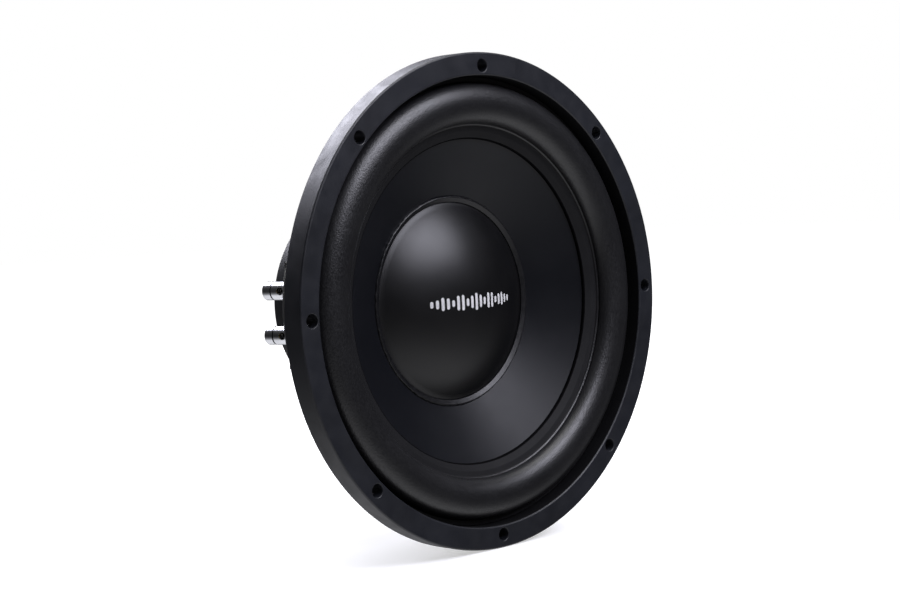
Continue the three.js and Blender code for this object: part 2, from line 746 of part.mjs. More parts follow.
function terminalGroup(label, side) {
  const group = new THREE.Group();
  group.position.z = side * TERMINAL_SPACING / 2;
  group.add(
    piece(`${label}_terminal_post`, post(), finish.brass),
    piece(`${label}_terminal_collar`, collar(), finish.plastic),
    piece(`${label}_terminal_sleeve`, sleeve(), finish.chrome),
    piece(`${label}_terminal_cap`, buttonCap(), finish.chrome),
    piece(`${label}_terminal_spring`, pushSpring(), finish.steel),
    piece(`${label}_terminal_solder_tab`, solderTab(side), finish.brass),
    piece(`${label}_terminal_washer`, washer(), finish.plastic),
    piece(`${label}_terminal_nut`, nut(), finish.steel),
  );
  return group;
}

function terminals() {
  const group = new THREE.Group();
  group.position.set(-TERMINAL_RADIUS, TERMINAL_BASE_Y, 0);
  group.rotation.z = TERMINAL_SPLAY;
  group.add(piece('terminal_panel', terminalPanel(), finish.plastic));
  PANEL_RIVET_X.forEach((x, i) => {
    const rivet = piece(`panel_rivet_${i + 1}`, panelRivet(), finish.steel);
    rivet.position.x = x;
    group.add(rivet);
  });
  group.add(terminalGroup('upper', 1), terminalGroup('lower', -1));
  return group;
}

function motorRivets() {
  const group = new THREE.Group();
  for (let i = 0; i < MOTOR_RIVET_COUNT; i += 1) {
    const rivet = piece(`motor_rivet_${i + 1}`, motorRivet(), finish.steel);
    const turn = motorRivetTurn(i);
    rivet.position.set(MOTOR_RIVET_CIRCLE * Math.cos(turn), 0, -MOTOR_RIVET_CIRCLE * Math.sin(turn));
    group.add(rivet);
  }
  return group;
}

function driver() {
  const group = new THREE.Group();
  group.add(
    piece('gasket_ring', gasketRing(), finish.gasket),
    piece('basket', basket(), finish.paint),
    piece('surround', surround(), finish.rubber),
    piece('cone', cone(), finish.cone),
    piece('dust_cap', dustCap(), finish.cap),
    piece('cap_glue_bead', capGlueBead(), finish.glue),
    piece('former_glue_collar', formerGlueCollar(), finish.glue),
    piece('voice_coil_former',
      tube(FORMER_INNER_RADIUS, FORMER_OUTER_RADIUS, FORMER_FRONT_Y, FORMER_REAR_Y), finish.former),
    piece('voice_coil_winding', winding(), finish.copper),
    piece('spider', spider(), finish.cloth),
    piece('top_plate', topPlate(), finish.plate),
    piece('magnet',
      tube(MAGNET_BORE_RADIUS, MAGNET_OUTER_RADIUS, magnetY, magnetY + MAGNET_THICKNESS), finish.magnet),
    piece('t_yoke', tYoke(), finish.plate),
    piece('magnet_boot', magnetBoot(), finish.rubber),
    piece('upper_tinsel_lead', tinselLead(1), finish.brass),
    piece('lower_tinsel_lead', tinselLead(-1), finish.brass),
    motorRivets(),
    terminals(),
  );
  return group;
}

export default driver();
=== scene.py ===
"""The looks of a car subwoofer driver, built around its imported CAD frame.

The driver's axis is Y: the cone faces -Y, the motor is at +Y, and +Z is up. Sizes are in millimetres
until build() turns them into metres, and the baffle plane is at y = 0.
"""
import math

import bmesh
import bpy
from mathutils import Matrix, Vector, noise


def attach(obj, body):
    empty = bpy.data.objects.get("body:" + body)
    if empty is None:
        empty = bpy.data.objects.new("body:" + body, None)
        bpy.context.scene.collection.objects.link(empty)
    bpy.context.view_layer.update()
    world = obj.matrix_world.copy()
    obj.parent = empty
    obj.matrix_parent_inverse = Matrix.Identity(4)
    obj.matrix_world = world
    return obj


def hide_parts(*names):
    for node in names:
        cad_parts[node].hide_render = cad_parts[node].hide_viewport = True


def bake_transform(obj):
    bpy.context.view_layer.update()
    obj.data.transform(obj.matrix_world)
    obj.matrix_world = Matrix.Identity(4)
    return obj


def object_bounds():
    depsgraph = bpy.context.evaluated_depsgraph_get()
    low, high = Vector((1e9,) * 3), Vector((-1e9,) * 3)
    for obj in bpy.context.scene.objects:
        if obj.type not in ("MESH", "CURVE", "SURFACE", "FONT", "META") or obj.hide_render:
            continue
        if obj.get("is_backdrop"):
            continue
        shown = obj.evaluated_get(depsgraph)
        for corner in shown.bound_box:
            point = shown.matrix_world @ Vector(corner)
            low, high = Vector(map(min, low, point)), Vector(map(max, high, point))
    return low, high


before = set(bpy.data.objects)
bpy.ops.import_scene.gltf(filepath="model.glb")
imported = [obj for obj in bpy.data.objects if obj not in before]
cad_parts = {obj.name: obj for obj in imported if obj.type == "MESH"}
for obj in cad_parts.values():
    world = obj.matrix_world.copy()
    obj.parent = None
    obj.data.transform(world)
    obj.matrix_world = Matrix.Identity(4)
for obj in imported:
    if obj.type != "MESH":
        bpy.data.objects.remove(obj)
CAD_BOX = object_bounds()

# ---- driving dimensions, in millimetres ----------------------------------------------------------
MM = 0.001
FULL_TURN = 2 * math.pi
TINY = 1e-6
GAP = 0.3                     # clearance between pieces that touch
SHARP_ANGLE = math.radians(40)
RIM_SEGMENTS = 288
RING_SEGMENTS = 160
SMALL_SEGMENTS = 48
BUTTON_SEGMENTS = 96

BOLT_COUNT = 8
BOLT_CIRCLE_RADIUS = 149
GASKET_HOLE_RADIUS = 4.2
FLANGE_HOLE_RADIUS = 2.8
GASKET_EDGE = 1.3
SKIRT_THICKNESS = 2.4

SHEET = 2                     # basket steel
SHEET_EDGE = 0.45
SPOKE_COUNT = 6
TERMINAL_SPOKE = 3            # the spoke at -X, counted from +X
WINDOW_HALF_ANGLE = math.radians(15)
WINDOW_OUTER_RADIUS = 134.2
WINDOW_INNER_RADIUS = 99.5
WINDOW_CORNER = 7
SLOT_HALF_WIDTH = 12
SLOT_HALF_HEIGHT = 4.4
SLOT_Y = 60
FLOOR_HOLE_RADIUS = 37
FLOOR_Y = 74                  # where the motor is riveted
LEDGE_Y = 49.6                # where the spider is glued
WALL_RADIUS = 80.5            # where the wall with the slots begins
WINDOW_OUTER_MARGIN = 7       # sheet between a window and the plain rows outside it
WINDOW_INNER_MARGIN = 3.2

CONE_SLOPE = 0.52
CONE_OUTER_RADIUS = 113
CONE_OUTER_Y = -1.9
CONE_THICKNESS = 1.3
ROLL_CENTRE_RADIUS = 126
ROLL_HALF_WIDTH = 13
ROLL_HEIGHT = 10
ROLL_BASE_Y = -4.1
SURROUND_THICKNESS = 1.5
SURROUND_LAND_RADIUS = 142.4
LIP_INNER_RADIUS = 103.7
LIP_SHADE_WIDTH = 0.9                # width of the lip's edge that gets painted shade
CAP_THICKNESS = 1.2

GROOVE_DEPTH = 0.7            # in the rear faces of yoke and boot
YOKE_POLE_RADIUS = 30.4
YOKE_PLATE_THICKNESS = 8

MOTOR_RIVET_COUNT = 4
MOTOR_RIVET_CIRCLE = 52
MOTOR_RIVET_RADIUS = 2.5
MOTOR_RIVET_HEAD_RADIUS = 4.4
MOTOR_RIVET_HOLE_RADIUS = 2.7

TERMINAL_RADIUS = 103
TERMINAL_BASE_Y = 53
TERMINAL_SPACING = 28
TERMINAL_SPLAY = math.radians(13.5)
PANEL_THICKNESS = 3.2
PANEL_OUTER_X = -11
PANEL_INNER_X = 6
PANEL_HALF_LENGTH = 23
PANEL_RIVET_X = (-7, 2.5)
PANEL_RIVET_RADIUS = 2
PANEL_RIVET_HEAD_RADIUS = 4
PANEL_RIVET_TAIL_RADIUS = 3
PANEL_RIVET_HOLE_RADIUS = 2.3
COLLAR_RADIUS = 6.5
COLLAR_HEIGHT = 3
POST_RADIUS = 2.6
POST_HEIGHT = 10.5
POST_DEPTH = 12.4
POST_HOLE_RADIUS = 3.2
SLEEVE_RADIUS = 5.9
SLEEVE_BORE_RADIUS = 4.4
SLEEVE_LOW = 6.2
SLEEVE_HIGH = 17.1
WIRE_HOLE_RADIUS = 2.4
WIRE_HOLE_HEIGHT = 10
PUSH_TRAVEL = 3
CAP_LOW = 17.9
SPIGOT_DEPTH = 1.6
TERMINAL_HEIGHT = 24
DISH_RADIUS = 3.6             # in the flat end of a push button
DISH_DEPTH = 0.35
WASHER_HIGH = -6.6
WASHER_THICKNESS = 1.2
WASHER_RADIUS = 5.5
TAB_THICKNESS = 0.8
TAB_RING_RADIUS = 4.6
TAB_REACH = 9
TAB_HALF_WIDTH = 2
NUT_THICKNESS = 2.4
NUT_RADIUS = 4.6
SPRING_RADIUS = 2.4
SPRING_WIRE_RADIUS = 0.25
SPRING_TURNS = 3

LEAD_RADIUS = 0.9
LEAD_STRANDS = 7
LEAD_TO_STRAND = 2.9          # a lead's radius over that of one strand
LEAD_PITCH = 9                # length in which a strand goes once round the lead
LEAD_ROUTE = (
    (-100.8, 43.9, 23),
    (-99.9, 40.2, 22.9),
    (-95.5, 36.7, 21),
    (-86, 35.6, 18),
    (-76, 36.8, 15),
    (-67, 36.8, 12.6),
    (-60, 34.2, 11.2),
    (-56, 30.5, 10.5),
)

MARK_HALF_WIDTH = 35
MARK_HEIGHT = 11
MARK_BARS = 19
MARK_BAR_WIDTH = 2.1
MARK_THICKNESS = 0.1
MARK_SINK = 0.05              # how far the ink reaches into the cap
MARK_LOWEST = 0.28            # the lowest bar's share of the highest
MARK_WAVES = 2.6
MARK_FADE = 0.55              # how much lower the waves are at the ends

# ---- the view -------------------------------------------------------------------------------------
VIEW_AZIMUTH = math.radians(-43.88)
VIEW_ELEVATION = math.radians(3.42)
VIEW_ROLL = math.radians(-2.74)
VIEW_DISTANCE = 1173.9
VIEW_LENS = 74.1
VIEW_SENSOR = 36
VIEW_ASIDE = -27.4            # how far the camera stands to the side of the rim's centre
VIEW_RAISE = 1.0

# how bright the room is from straight below (0) over the horizon (0.5) to straight above (1)
ROOM_LIGHT = (
    (0.0, 1.0),
    (0.17, 0.85),
    (0.22, 0.4),
    (0.31, 0.13),
    (0.4, 0.04),
    (0.5, 0.02),
    (0.75, 0.04),
    (1.0, 0.2),
)

# how much the floor glows of itself, near the object and far from it
FLOOR_GLOW_NEAR = 0.52
FLOOR_GLOW_FAR = 1.1
FLOOR_NEAR = 0.35             # these two in metres
FLOOR_FAR = 1.2
FLOOR_REACH = 6000

COOL_WHITE = (0.97, 0.97, 1.1)


class Ring:
    """The size of a round CAD node in mm: its radii, and its front and rear along the axis."""

    def __init__(self, node):
        points = [vertex.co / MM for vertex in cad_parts[node].data.vertices]
        radii = [math.hypot(p.x, p.z) for p in points]
        self.inner = min(radii)
        self.outer = max(radii)
        self.front = min(p.y for p in points)
        self.rear = max(p.y for p in points)


# ---- outlines of (radius, y) points ---------------------------------------------------------------

def arc(radius, y, size, start, end, steps):
    """Points on a circle about (radius, y), from one angle to another in degrees."""
    angles = [math.radians(start + (end - start) * i / steps) for i in range(steps + 1)]
    return [(radius + size * math.cos(a), y + size * math.sin(a)) for a in angles]


def fillet(before, corner, after, size, steps=4):
    """The arc that rounds one corner of an outline."""
    ahead = (Vector(after) - Vector(corner)).normalized()
    back = (Vector(before) - Vector(corner)).normalized()
    half = back.angle(ahead) / 2
    reach = size / math.tan(half)
    centre = Vector(corner) + (back + ahead).normalized() * size / math.sin(half)
    first = Vector(corner) + back * reach - centre
    last = Vector(corner) + ahead * reach - centre
    start = math.atan2(first.y, first.x)
    sweep = math.remainder(math.atan2(last.y, last.x) - start, FULL_TURN)
    turns = [start + sweep * i / steps for i in range(steps + 1)]
    return [(centre.x + size * math.cos(a), centre.y + size * math.sin(a)) for a in turns]


def rounded(corners, closed=True, steps=4):
    """An outline whose corners (radius, y, size of rounding) are rounded. A size may be left out."""
    outline = []
    count = len(corners)
    for i, corner in enumerate(corners):
        inside = closed or 0 < i < count - 1
        size = corner[2] if len(corner) > 2 else 0
        if size and inside:
            before = corners[(i - 1) % count][:2]
            after = corners[(i + 1) % count][:2]
            outline += fillet(before, corner[:2], after, size, steps)
        else:
            outline.append(tuple(corner[:2]))
    return outline


def band(inner, outer, low, high, inner_round=0, outer_round=0):
    """The outline of a ring, with its edges rounded."""
    return rounded([
        (inner, low, inner_round),
        (outer, low, outer_round),
        (outer, high, outer_round),
        (inner, high, inner_round),
    ])


def groove(outer, inner, rear, slope, edge_round, floor_round):
    """The corners of a shallow groove in a rear face, from its outer side to its inner one."""
    floor = rear - GROOVE_DEPTH
    return [
        (outer, rear, edge_round),
        (outer - slope, floor, floor_round),
        (inner + slope, floor, floor_round),
        (inner, rear, edge_round),
    ]


def rivet_dome(radius, base, height, steps):
    """Points from the top of a rivet's head to its edge."""
    angles = [math.pi / 2 * i / steps for i in range(steps + 1)]
    return [(radius * math.sin(a), base + height * math.cos(a)) for a in angles]


def normals(line):
    """The unit normal at each point of a line, to the left of the way that it goes."""
    result = []
    for i in range(len(line)):
        before = Vector(line[max(i - 1, 0)])
        after = Vector(line[min(i + 1, len(line) - 1)])
        way = (after - before).normalized()
        result.append(Vector((-way.y, way.x)))
    return result


def sheet_outline(line, thickness):
    """A closed outline round a line, half the thickness to each side."""
    sides = []
    for sign in (0.5, -0.5):
        sides.append([
            (p[0] + n.x * sign * thickness, p[1] + n.y * sign * thickness)
            for p, n in zip(line, normals(line))
        ])
    return sides[0] + sides[1][::-1]


def cone_y(radius):
    """The front face of the cone at a radius."""
    return CONE_OUTER_Y + CONE_SLOPE * (CONE_OUTER_RADIUS - radius)


def smooth_step(value):
    """0 up to 0, 1 from 1 on, and smooth between them."""
    t = min(max(value, 0), 1)
    return t * t * (3 - 2 * t)


# ---- shapes: points in mm, and faces --------------------------------------------------------------

def turned(outline, segments=RING_SEGMENTS, reach=None):
    """An outline turned about the Y axis. It ends on the axis, or else it closes on itself.
    reach(radius, y, angle) may change a point's radius and y with its angle."""
    points = []
    rows = []
    for radius, y in outline:
        if radius < TINY:
            rows.append([len(points)] * segments)
            points.append(Vector((0, y, 0)))
            continue
        rows.append(range(len(points), len(points) + segments))
        for i in range(segments):
            angle = i * FULL_TURN / segments
            r, height = reach(radius, y, angle) if reach else (radius, y)
            points.append(Vector((r * math.cos(angle), height, r * math.sin(angle))))
    faces = []
    joined_ends = outline[0][0] > TINY
    for i in range(len(rows) if joined_ends else len(rows) - 1):
        low = rows[i]
        high = rows[(i + 1) % len(rows)]
        for j in range(segments):
            k = (j + 1) % segments
            corners = list(dict.fromkeys((low[j], low[k], high[k], high[j])))
            if len(corners) > 2:
                faces.append(corners)
    return points, faces


def rod(radius, low, high):
    """A plain round bar along the Y axis."""
    return turned([(0, low), (radius, low), (radius, high), (0, high)], SMALL_SEGMENTS)


def placed(shape, matrix):
    """A copy of a shape in another place."""
    points, faces = shape
    return [matrix @ p for p in points], faces


def joined(shapes):
    """Several shapes as one."""
    points = []
    faces = []
    for more_points, more_faces in shapes:
        start = len(points)
        points += more_points
        faces += [[start + corner for corner in face] for face in more_faces]
    return points, faces


def walk(path):
    """Each point of a path, and two directions across it that don't spin along the way."""
    across = (path[1] - path[0]).orthogonal().normalized()
    for i, centre in enumerate(path):
        way = (path[min(i + 1, len(path) - 1)] - path[max(i - 1, 0)]).normalized()
        across = (across - way * across.dot(way)).normalized()
        yield centre, across, way.cross(across)


def wire(path, radius, sides):
    """A round wire along a path of points, with closed ends."""
    points = []
    faces = []
    for centre, across, over in walk(path):
        for j in range(sides):
            angle = j * FULL_TURN / sides
            points.append(centre + (across * math.cos(angle) + over * math.sin(angle)) * radius)
    for i in range(len(path) - 1):
        for j in range(sides):
            k = (j + 1) % sides
            faces.append([i * sides + j, i * sides + k, (i + 1) * sides + k, (i + 1) * sides + j])
    last = (len(path) - 1) * sides
    faces.append(list(range(sides))[::-1])
    faces.append([last + j for j in range(sides)])
    return points, faces


def turn_about_axis(angle):
    """A rotation about the driver's axis that takes +X towards +Z."""
    return Matrix.Rotation(-angle, 4, "Y")


def in_circle(shape, radius, count, offset=0.0):
    """Copies of a shape on a circle about the driver's axis."""
    moved = Matrix.Translation((radius, 0, 0))
    turns = [turn_about_axis((i + offset) * FULL_TURN / count) for i in range(count)]
    return joined([placed(shape, turn @ moved) for turn in turns])


def on_panel(x=0.0, z=0.0):
    """The place of a terminal part: y = 0 is the panel's outer face, +y the way a terminal points."""
    base = Matrix.Translation((-TERMINAL_RADIUS, TERMINAL_BASE_Y, 0))
    return base @ Matrix.Rotation(TERMINAL_SPLAY, 4, "Z") @ Matrix.Translation((x, 0, z))


# ---- objects --------------------------------------------------------------------------------------

def build(name, shape, sharp=SHARP_ANGLE):
    """A mesh object in metres of a shape in mm."""
    points, faces = shape
    mesh = bpy.data.meshes.new(name)
    mesh.from_pydata([p * MM for p in points], [], faces)
    obj = bpy.data.objects.new(name, mesh)
    bpy.context.scene.collection.objects.link(obj)
    shade(obj, sharp)
    return obj


def shade(obj, sharp=SHARP_ANGLE):
    """Turns an object's faces outwards and smooths them, except along edges sharper than an angle."""
    work = bmesh.new()
    work.from_mesh(obj.data)
    bmesh.ops.recalc_face_normals(work, faces=work.faces)
    for face in work.faces:
        face.smooth = True
    for edge in work.edges:
        edge.smooth = not edge.is_manifold or edge.calc_face_angle() < sharp
    work.to_mesh(obj.data)
    work.free()


def apply_modifiers(obj):
    """Makes an object's modifiers part of its mesh."""
    bpy.context.view_layer.update()
    evaluated = obj.evaluated_get(bpy.context.evaluated_depsgraph_get())
    mesh = bpy.data.meshes.new_from_object(evaluated)
    obj.modifiers.clear()
    obj.data = mesh


def cut(obj, shape):
    """Cuts a shape out of an object."""
    cutter = build("cutter", shape)
    modifier = obj.modifiers.new("cut", "BOOLEAN")
    modifier.operation = "DIFFERENCE"
    modifier.solver = "EXACT"
    modifier.object = cutter
    apply_modifiers(obj)
    bpy.data.objects.remove(cutter)
    shade(obj)


def plate(name, outline, holes, low, high, edge, matrix):
    """A flat plate in X and Z with rounded edges and holes, from low to high along Y, then placed."""
    curve = bpy.data.curves.new(name, "CURVE")
    curve.dimensions = "2D"
    curve.fill_mode = "BOTH"
    curve.extrude = (high - low) / 2 - edge
    curve.bevel_depth = edge
    curve.bevel_resolution = 2
    curve.offset = -edge
    for loop in (outline, *holes):
        spline = curve.splines.new("POLY")
        spline.points.add(len(loop) - 1)
        for point, (x, z) in zip(spline.points, loop):
            point.co = (x, z, 0, 1)
        spline.use_cyclic_u = True
    flat = bpy.data.objects.new(name, curve)
    bpy.context.scene.collection.objects.link(flat)
    bpy.context.view_layer.update()
    mesh = bpy.data.meshes.new_from_object(flat.evaluated_get(bpy.context.evaluated_depsgraph_get()))
    upright = Matrix.Translation((0, (low + high) / 2, 0)) @ Matrix.Rotation(math.pi / 2, 4, "X")
    mesh.transform(Matrix.Scale(MM, 4) @ matrix @ upright)
    bpy.data.objects.remove(flat)
    obj = bpy.data.objects.new(name, mesh)
    bpy.context.scene.collection.objects.link(obj)
    merge(obj)
    shade(obj)
    return obj


def merge(obj):
    """Joins vertices that lie on each other."""
    work = bmesh.new()
    work.from_mesh(obj.data)
    bmesh.ops.remove_doubles(work, verts=work.verts, dist=MM * 1e-3)
    work.to_mesh(obj.data)
    work.free()


def circle(x, z, radius, count=SMALL_SEGMENTS):
    """A round loop of (x, z) points."""
    angles = [i * FULL_TURN / count for i in range(count)]
    return [(x + radius * math.cos(a), z + radius * math.sin(a)) for a in angles]


def dress(obj, look, slot, body, *nodes):
    """Gives a piece its material and the body that it rides on, and hides the nodes it stands for. The
    slot is not used.
    """
    weighted = obj.modifiers.new("even shading", "WEIGHTED_NORMAL")
    weighted.keep_sharp = True
    obj.data.materials.clear()
    obj.data.materials.append(look)
    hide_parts(*nodes)
    if body:
        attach(obj, body)


def detail(obj, look, slot, body):
    """Gives a piece that stands for no node its material and the body that it rides on. The slot is not
    used.
    """
    obj.data.materials.append(look)
    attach(obj, body)


def stretch(obj, weight):
    """Bakes a piece's place into its mesh and works out weight(point in mm) for each vertex,
    0 on the frame and 1 on a moving body; every joint is a slide. The values are not used."""
    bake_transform(obj)
    values = [weight(vertex.co / MM) for vertex in obj.data.vertices]


# ---- materials ------------------------------------------------------------------------------------

def add_node(tree, kind, inputs=None, **settings):
    """A new node with its settings, and its inputs by name: a value, or an output to link."""
    made = tree.nodes.new(kind)
    for key, value in settings.items():
        setattr(made, key, value)
    for key, value in (inputs or {}).items():
        if isinstance(value, bpy.types.NodeSocket):
            tree.links.new(value, made.inputs[key])
        else:
            made.inputs[key].default_value = value
    return made


class Look:
    """A Principled material with textures in the object's own space, sized in mm."""

    def __init__(self, name, colour, roughness, **sockets):
        self.material = bpy.data.materials.new(name)
        self.material.use_nodes = True
        self.tree = self.material.node_tree
        self.shader = self.tree.nodes["Principled BSDF"]
        self.place = self.node("ShaderNodeTexCoord").outputs["Object"]
        self.normal = None
        self.set("Base Color", (*colour, 1))
        self.set("Roughness", roughness)
        for socket, value in sockets.items():
            self.set(socket.replace("_", " "), value)

    def set(self, socket, value):
        self.shader.inputs[socket].default_value = value

    def node(self, kind, inputs=None, **settings):
        return add_node(self.tree, kind, inputs, **settings)

    def noise(self, size, detail=2.0):
        """Soft lumps of about a size, from 0 to 1."""
        inputs = {"Vector": self.place, "Scale": 1 / (size * MM), "Detail": detail}
        return self.node("ShaderNodeTexNoise", inputs).outputs["Fac"]

    def pebbles(self, size):
        """Rounded cells of a size, 0 in their middles."""
        warped = self.noise(size * 3, 1.0)
        inputs = {"Vector": self.place, "Scale": 1 / (size * MM), "Smoothness": 0.7}
        cells = self.node("ShaderNodeTexVoronoi", inputs, feature="SMOOTH_F1")
        return self.math("ADD", cells.outputs["Distance"], self.math("MULTIPLY", warped, 0.3))

    def waves(self, size, direction, bands=True):
        """Parallel or round bands, one each size."""
        settings = {"wave_type": "BANDS" if bands else "RINGS", "wave_profile": "SIN"}
        settings["bands_direction" if bands else "rings_direction"] = direction
        # a band of the wave texture is 2 pi / 20 wide at scale 1
        inputs = {"Vector": self.place, "Scale": FULL_TURN / 20 / (size * MM), "Distortion": 0.0}
        return self.node("ShaderNodeTexWave", inputs, **settings).outputs["Fac"]

    def math(self, operation, first, second):
        return self.node("ShaderNodeMath", {0: first, 1: second}, operation=operation).outputs[0]

    def spread(self, value, low, high, start=0.3, end=0.7):
        """A texture from start to end as values from low to high."""
        inputs = {"Value": value, "From Min": start, "From Max": end, "To Min": low, "To Max": high}
        return self.node("ShaderNodeMapRange", inputs).outputs["Result"]

    def colours(self, value, dark, light, start=0.3, end=0.7):
        """Colours the surface from dark to light by a texture."""
        ramp = self.node("ShaderNodeValToRGB", {"Fac": value})
        ramp.color_ramp.elements[0].position = start
        ramp.color_ramp.elements[0].color = (*dark, 1)
        ramp.color_ramp.elements[1].position = end
        ramp.color_ramp.elements[1].color = (*light, 1)
        self.tree.links.new(ramp.outputs["Color"], self.shader.inputs["Base Color"])

    def gloss(self, value, low, high, start=0.3, end=0.7):
        """Varies the roughness by a texture."""
        spread = self.spread(value, low, high, start, end)
        self.tree.links.new(spread, self.shader.inputs["Roughness"])

    def relief(self, height, depth, strength=1.0):
        """Adds a texture's relief, so many mm deep, to what is there."""
        inputs = {"Height": height, "Distance": depth * MM, "Strength": strength}
        if self.normal:
            inputs["Normal"] = self.normal
        self.normal = self.node("ShaderNodeBump", inputs).outputs["Normal"]
        self.tree.links.new(self.normal, self.shader.inputs["Normal"])


def moulded_rubber(name, colour, roughness, grain, depth, sag):
    """Matte black rubber with a fine mould grain and faint cloudy bloom."""
    look = Look(name, colour, roughness)
    bloom = look.noise(38, 4.0)
    look.colours(bloom, [c * 0.82 for c in colour], [c * 1.25 for c in colour])
    look.gloss(look.noise(9, 5.0), roughness - 0.05, roughness + 0.07)
    look.relief(look.noise(grain, 3.0), depth)
    look.relief(look.noise(14, 2.0), sag)
    return look.material


def gasket_rubber():
    return moulded_rubber("gasket_rubber", (0.0095, 0.0105, 0.0145), 0.46, 0.5, 0.014, 0.006)


def gasket_bore_painted_shade():
    """Painted shade on the gasket's inner wall: a near-black, dull rubber that stands in for the shadow
    in the gap inside the rim.
    """
    look = Look("gasket_bore_painted_shade", (0.003, 0.003, 0.0036), 0.8, Specular_IOR_Level=0.12)
    look.colours(look.noise(12, 4.0), (0.0024, 0.0024, 0.003), (0.004, 0.004, 0.0047))
    look.relief(look.noise(0.5, 3.0), 0.02)
    return look.material


def boot_rubber():
    return moulded_rubber("boot_rubber", (0.014, 0.0145, 0.016), 0.42, 0.5, 0.02, 0.03)


def surround_rubber():
    """Pebbled rubber: small round grains that glint in the highlights."""
    look = Look("surround_rubber", (0.008, 0.008, 0.009), 0.36, Specular_IOR_Level=0.6)
    look.colours(look.noise(30, 4.0), (0.0065, 0.0065, 0.0075), (0.0105, 0.0105, 0.0115))
    look.gloss(look.noise(1.3, 3.0), 0.3, 0.46)
    look.relief(look.pebbles(1.15), 0.08)
    look.relief(look.noise(0.4, 2.0), 0.014)
    return look.material


def lip_rubber():
    """The surround's lip, pressed flat and dull."""
    look = Look("surround_lip_rubber", (0.007, 0.007, 0.008), 0.66, Specular_IOR_Level=0.24)
    look.colours(look.noise(22, 4.0), (0.005, 0.005, 0.006), (0.0085, 0.0085, 0.0095))
    look.relief(look.pebbles(0.7), 0.05, 0.7)
    look.relief(look.noise(0.4, 2.0), 0.014)
    return look.material


def lip_painted_shade():
    """Painted shade at the edge where the lip ends on the cone: a near-black, dull rubber that stands in
    for the shadow in the groove there.
    """
    look = Look("surround_lip_painted_shade", (0.0015, 0.0015, 0.0018), 0.85, Specular_IOR_Level=0.05)
    look.colours(look.noise(9, 3.0), (0.001, 0.001, 0.0012), (0.0022, 0.0022, 0.0026))
    look.relief(look.noise(0.4, 2.0), 0.02)
    return look.material


def cone_satin():
    """Smooth satin plastic with a faintly uneven gloss."""
    look = Look("cone_satin", (0.005, 0.0054, 0.0076), 0.38, Specular_IOR_Level=0.29)
    look.colours(look.noise(45, 4.0), (0.0042, 0.0047, 0.0068), (0.006, 0.0065, 0.0088))
    look.gloss(look.noise(16, 5.0), 0.36, 0.41)
    look.relief(look.noise(0.5, 2.0), 0.004)
    look.relief(look.noise(25, 2.0), 0.03)
    return look.material


def cap_matte():
    """A smooth matte pressing, finer than the cone."""
    look = Look("dust_cap_matte", (0.0024, 0.0024, 0.003), 0.39)
    look.colours(look.noise(40, 3.0), (0.002, 0.002, 0.0027), (0.003, 0.0028, 0.0032))
    look.gloss(look.noise(20, 4.0), 0.37, 0.41)
    look.relief(look.noise(0.6, 2.0), 0.004)
    return look.material


def mark_ink():
    """Thick screen-printed white ink."""
    look = Look("mark_ink", (0.78, 0.78, 0.78), 0.55)
    look.colours(look.noise(1.2, 4.0), (0.68, 0.68, 0.69), (0.84, 0.84, 0.84))
    look.relief(look.noise(0.5, 2.0), 0.01)
    return look.material


def glue(name, roughness=0.18, lumps=0.12):
    """Black glue, smooth where it flowed."""
    look = Look(name, (0.006, 0.006, 0.007), roughness, Coat_Weight=0.1, Coat_Roughness=0.2)
    look.colours(look.noise(6, 3.0), (0.004, 0.004, 0.005), (0.009, 0.009, 0.010))
    look.gloss(look.noise(3, 3.0), roughness - 0.04, roughness + 0.06)
    look.relief(look.noise(2.5, 2.0), lumps)
    return look.material


def basket_paint():
    """Baked black enamel on pressed steel, with an orange-peel surface and specks of dust."""
    look = Look("basket_paint", (0.012, 0.012, 0.013), 0.3, Coat_Weight=0.15, Coat_Roughness=0.2)
    look.colours(look.noise(24, 5.0), (0.010, 0.010, 0.011), (0.017, 0.017, 0.018))
    look.gloss(look.noise(5, 5.0), 0.26, 0.4)
    look.relief(look.noise(1.3, 3.0), 0.035)
    look.relief(look.noise(0.25, 1.0), 0.006)
    return look.material


def spider_cloth():
    """Resin-dipped cotton: warm yellow-brown threads in a plain weave."""
    look = Look("spider_cloth", (0.30, 0.17, 0.06), 0.8, Sheen_Weight=0.2)
    warp = look.waves(0.9, "X")
    weft = look.waves(0.9, "Z")
    weave = look.math("MAXIMUM", warp, weft)
    stains = look.math("MULTIPLY", look.noise(12, 4.0), 0.5)
    hue = look.math("ADD", look.math("MULTIPLY", weave, 0.6), stains)
    look.colours(hue, (0.10, 0.052, 0.018), (0.36, 0.21, 0.08), 0.25, 0.95)
    look.relief(weave, 0.16)
    look.relief(look.noise(0.3, 3.0), 0.03)
    return look.material


def metal(name, colour, low, high, marks=0.0, turning=False):
    """Bare or plated metal with cloudy roughness, and turning marks where it was turned on a lathe."""
    look = Look(name, colour, (low + high) / 2, Metallic=1.0)
    look.colours(look.noise(7, 4.0), [c * 0.86 for c in colour], colour)
    look.gloss(look.noise(2.2, 5.0), low, high)
    if turning:
        look.relief(look.waves(0.8, "Y", bands=False), marks)
    else:
        look.relief(look.noise(0.35, 3.0), marks)
    return look.material


def ferrite():
    """Sintered magnet: dull dark grey with fine pits and grinding haze."""
    look = Look("ferrite", (0.05, 0.05, 0.053), 0.6)
    look.colours(look.noise(2.5, 6.0), (0.032, 0.032, 0.035), (0.075, 0.075, 0.078))
    look.relief(look.noise(0.8, 5.0), 0.08)
    return look.material


def black_plastic():
    """Moulded phenolic with a fine texture."""
    look = Look("black_plastic", (0.014, 0.014, 0.015), 0.42)
    look.colours(look.noise(8, 4.0), (0.011, 0.011, 0.012), (0.019, 0.019, 0.02))
    look.gloss(look.noise(3, 4.0), 0.36, 0.5)
    look.relief(look.noise(0.3, 3.0), 0.015)
    return look.material


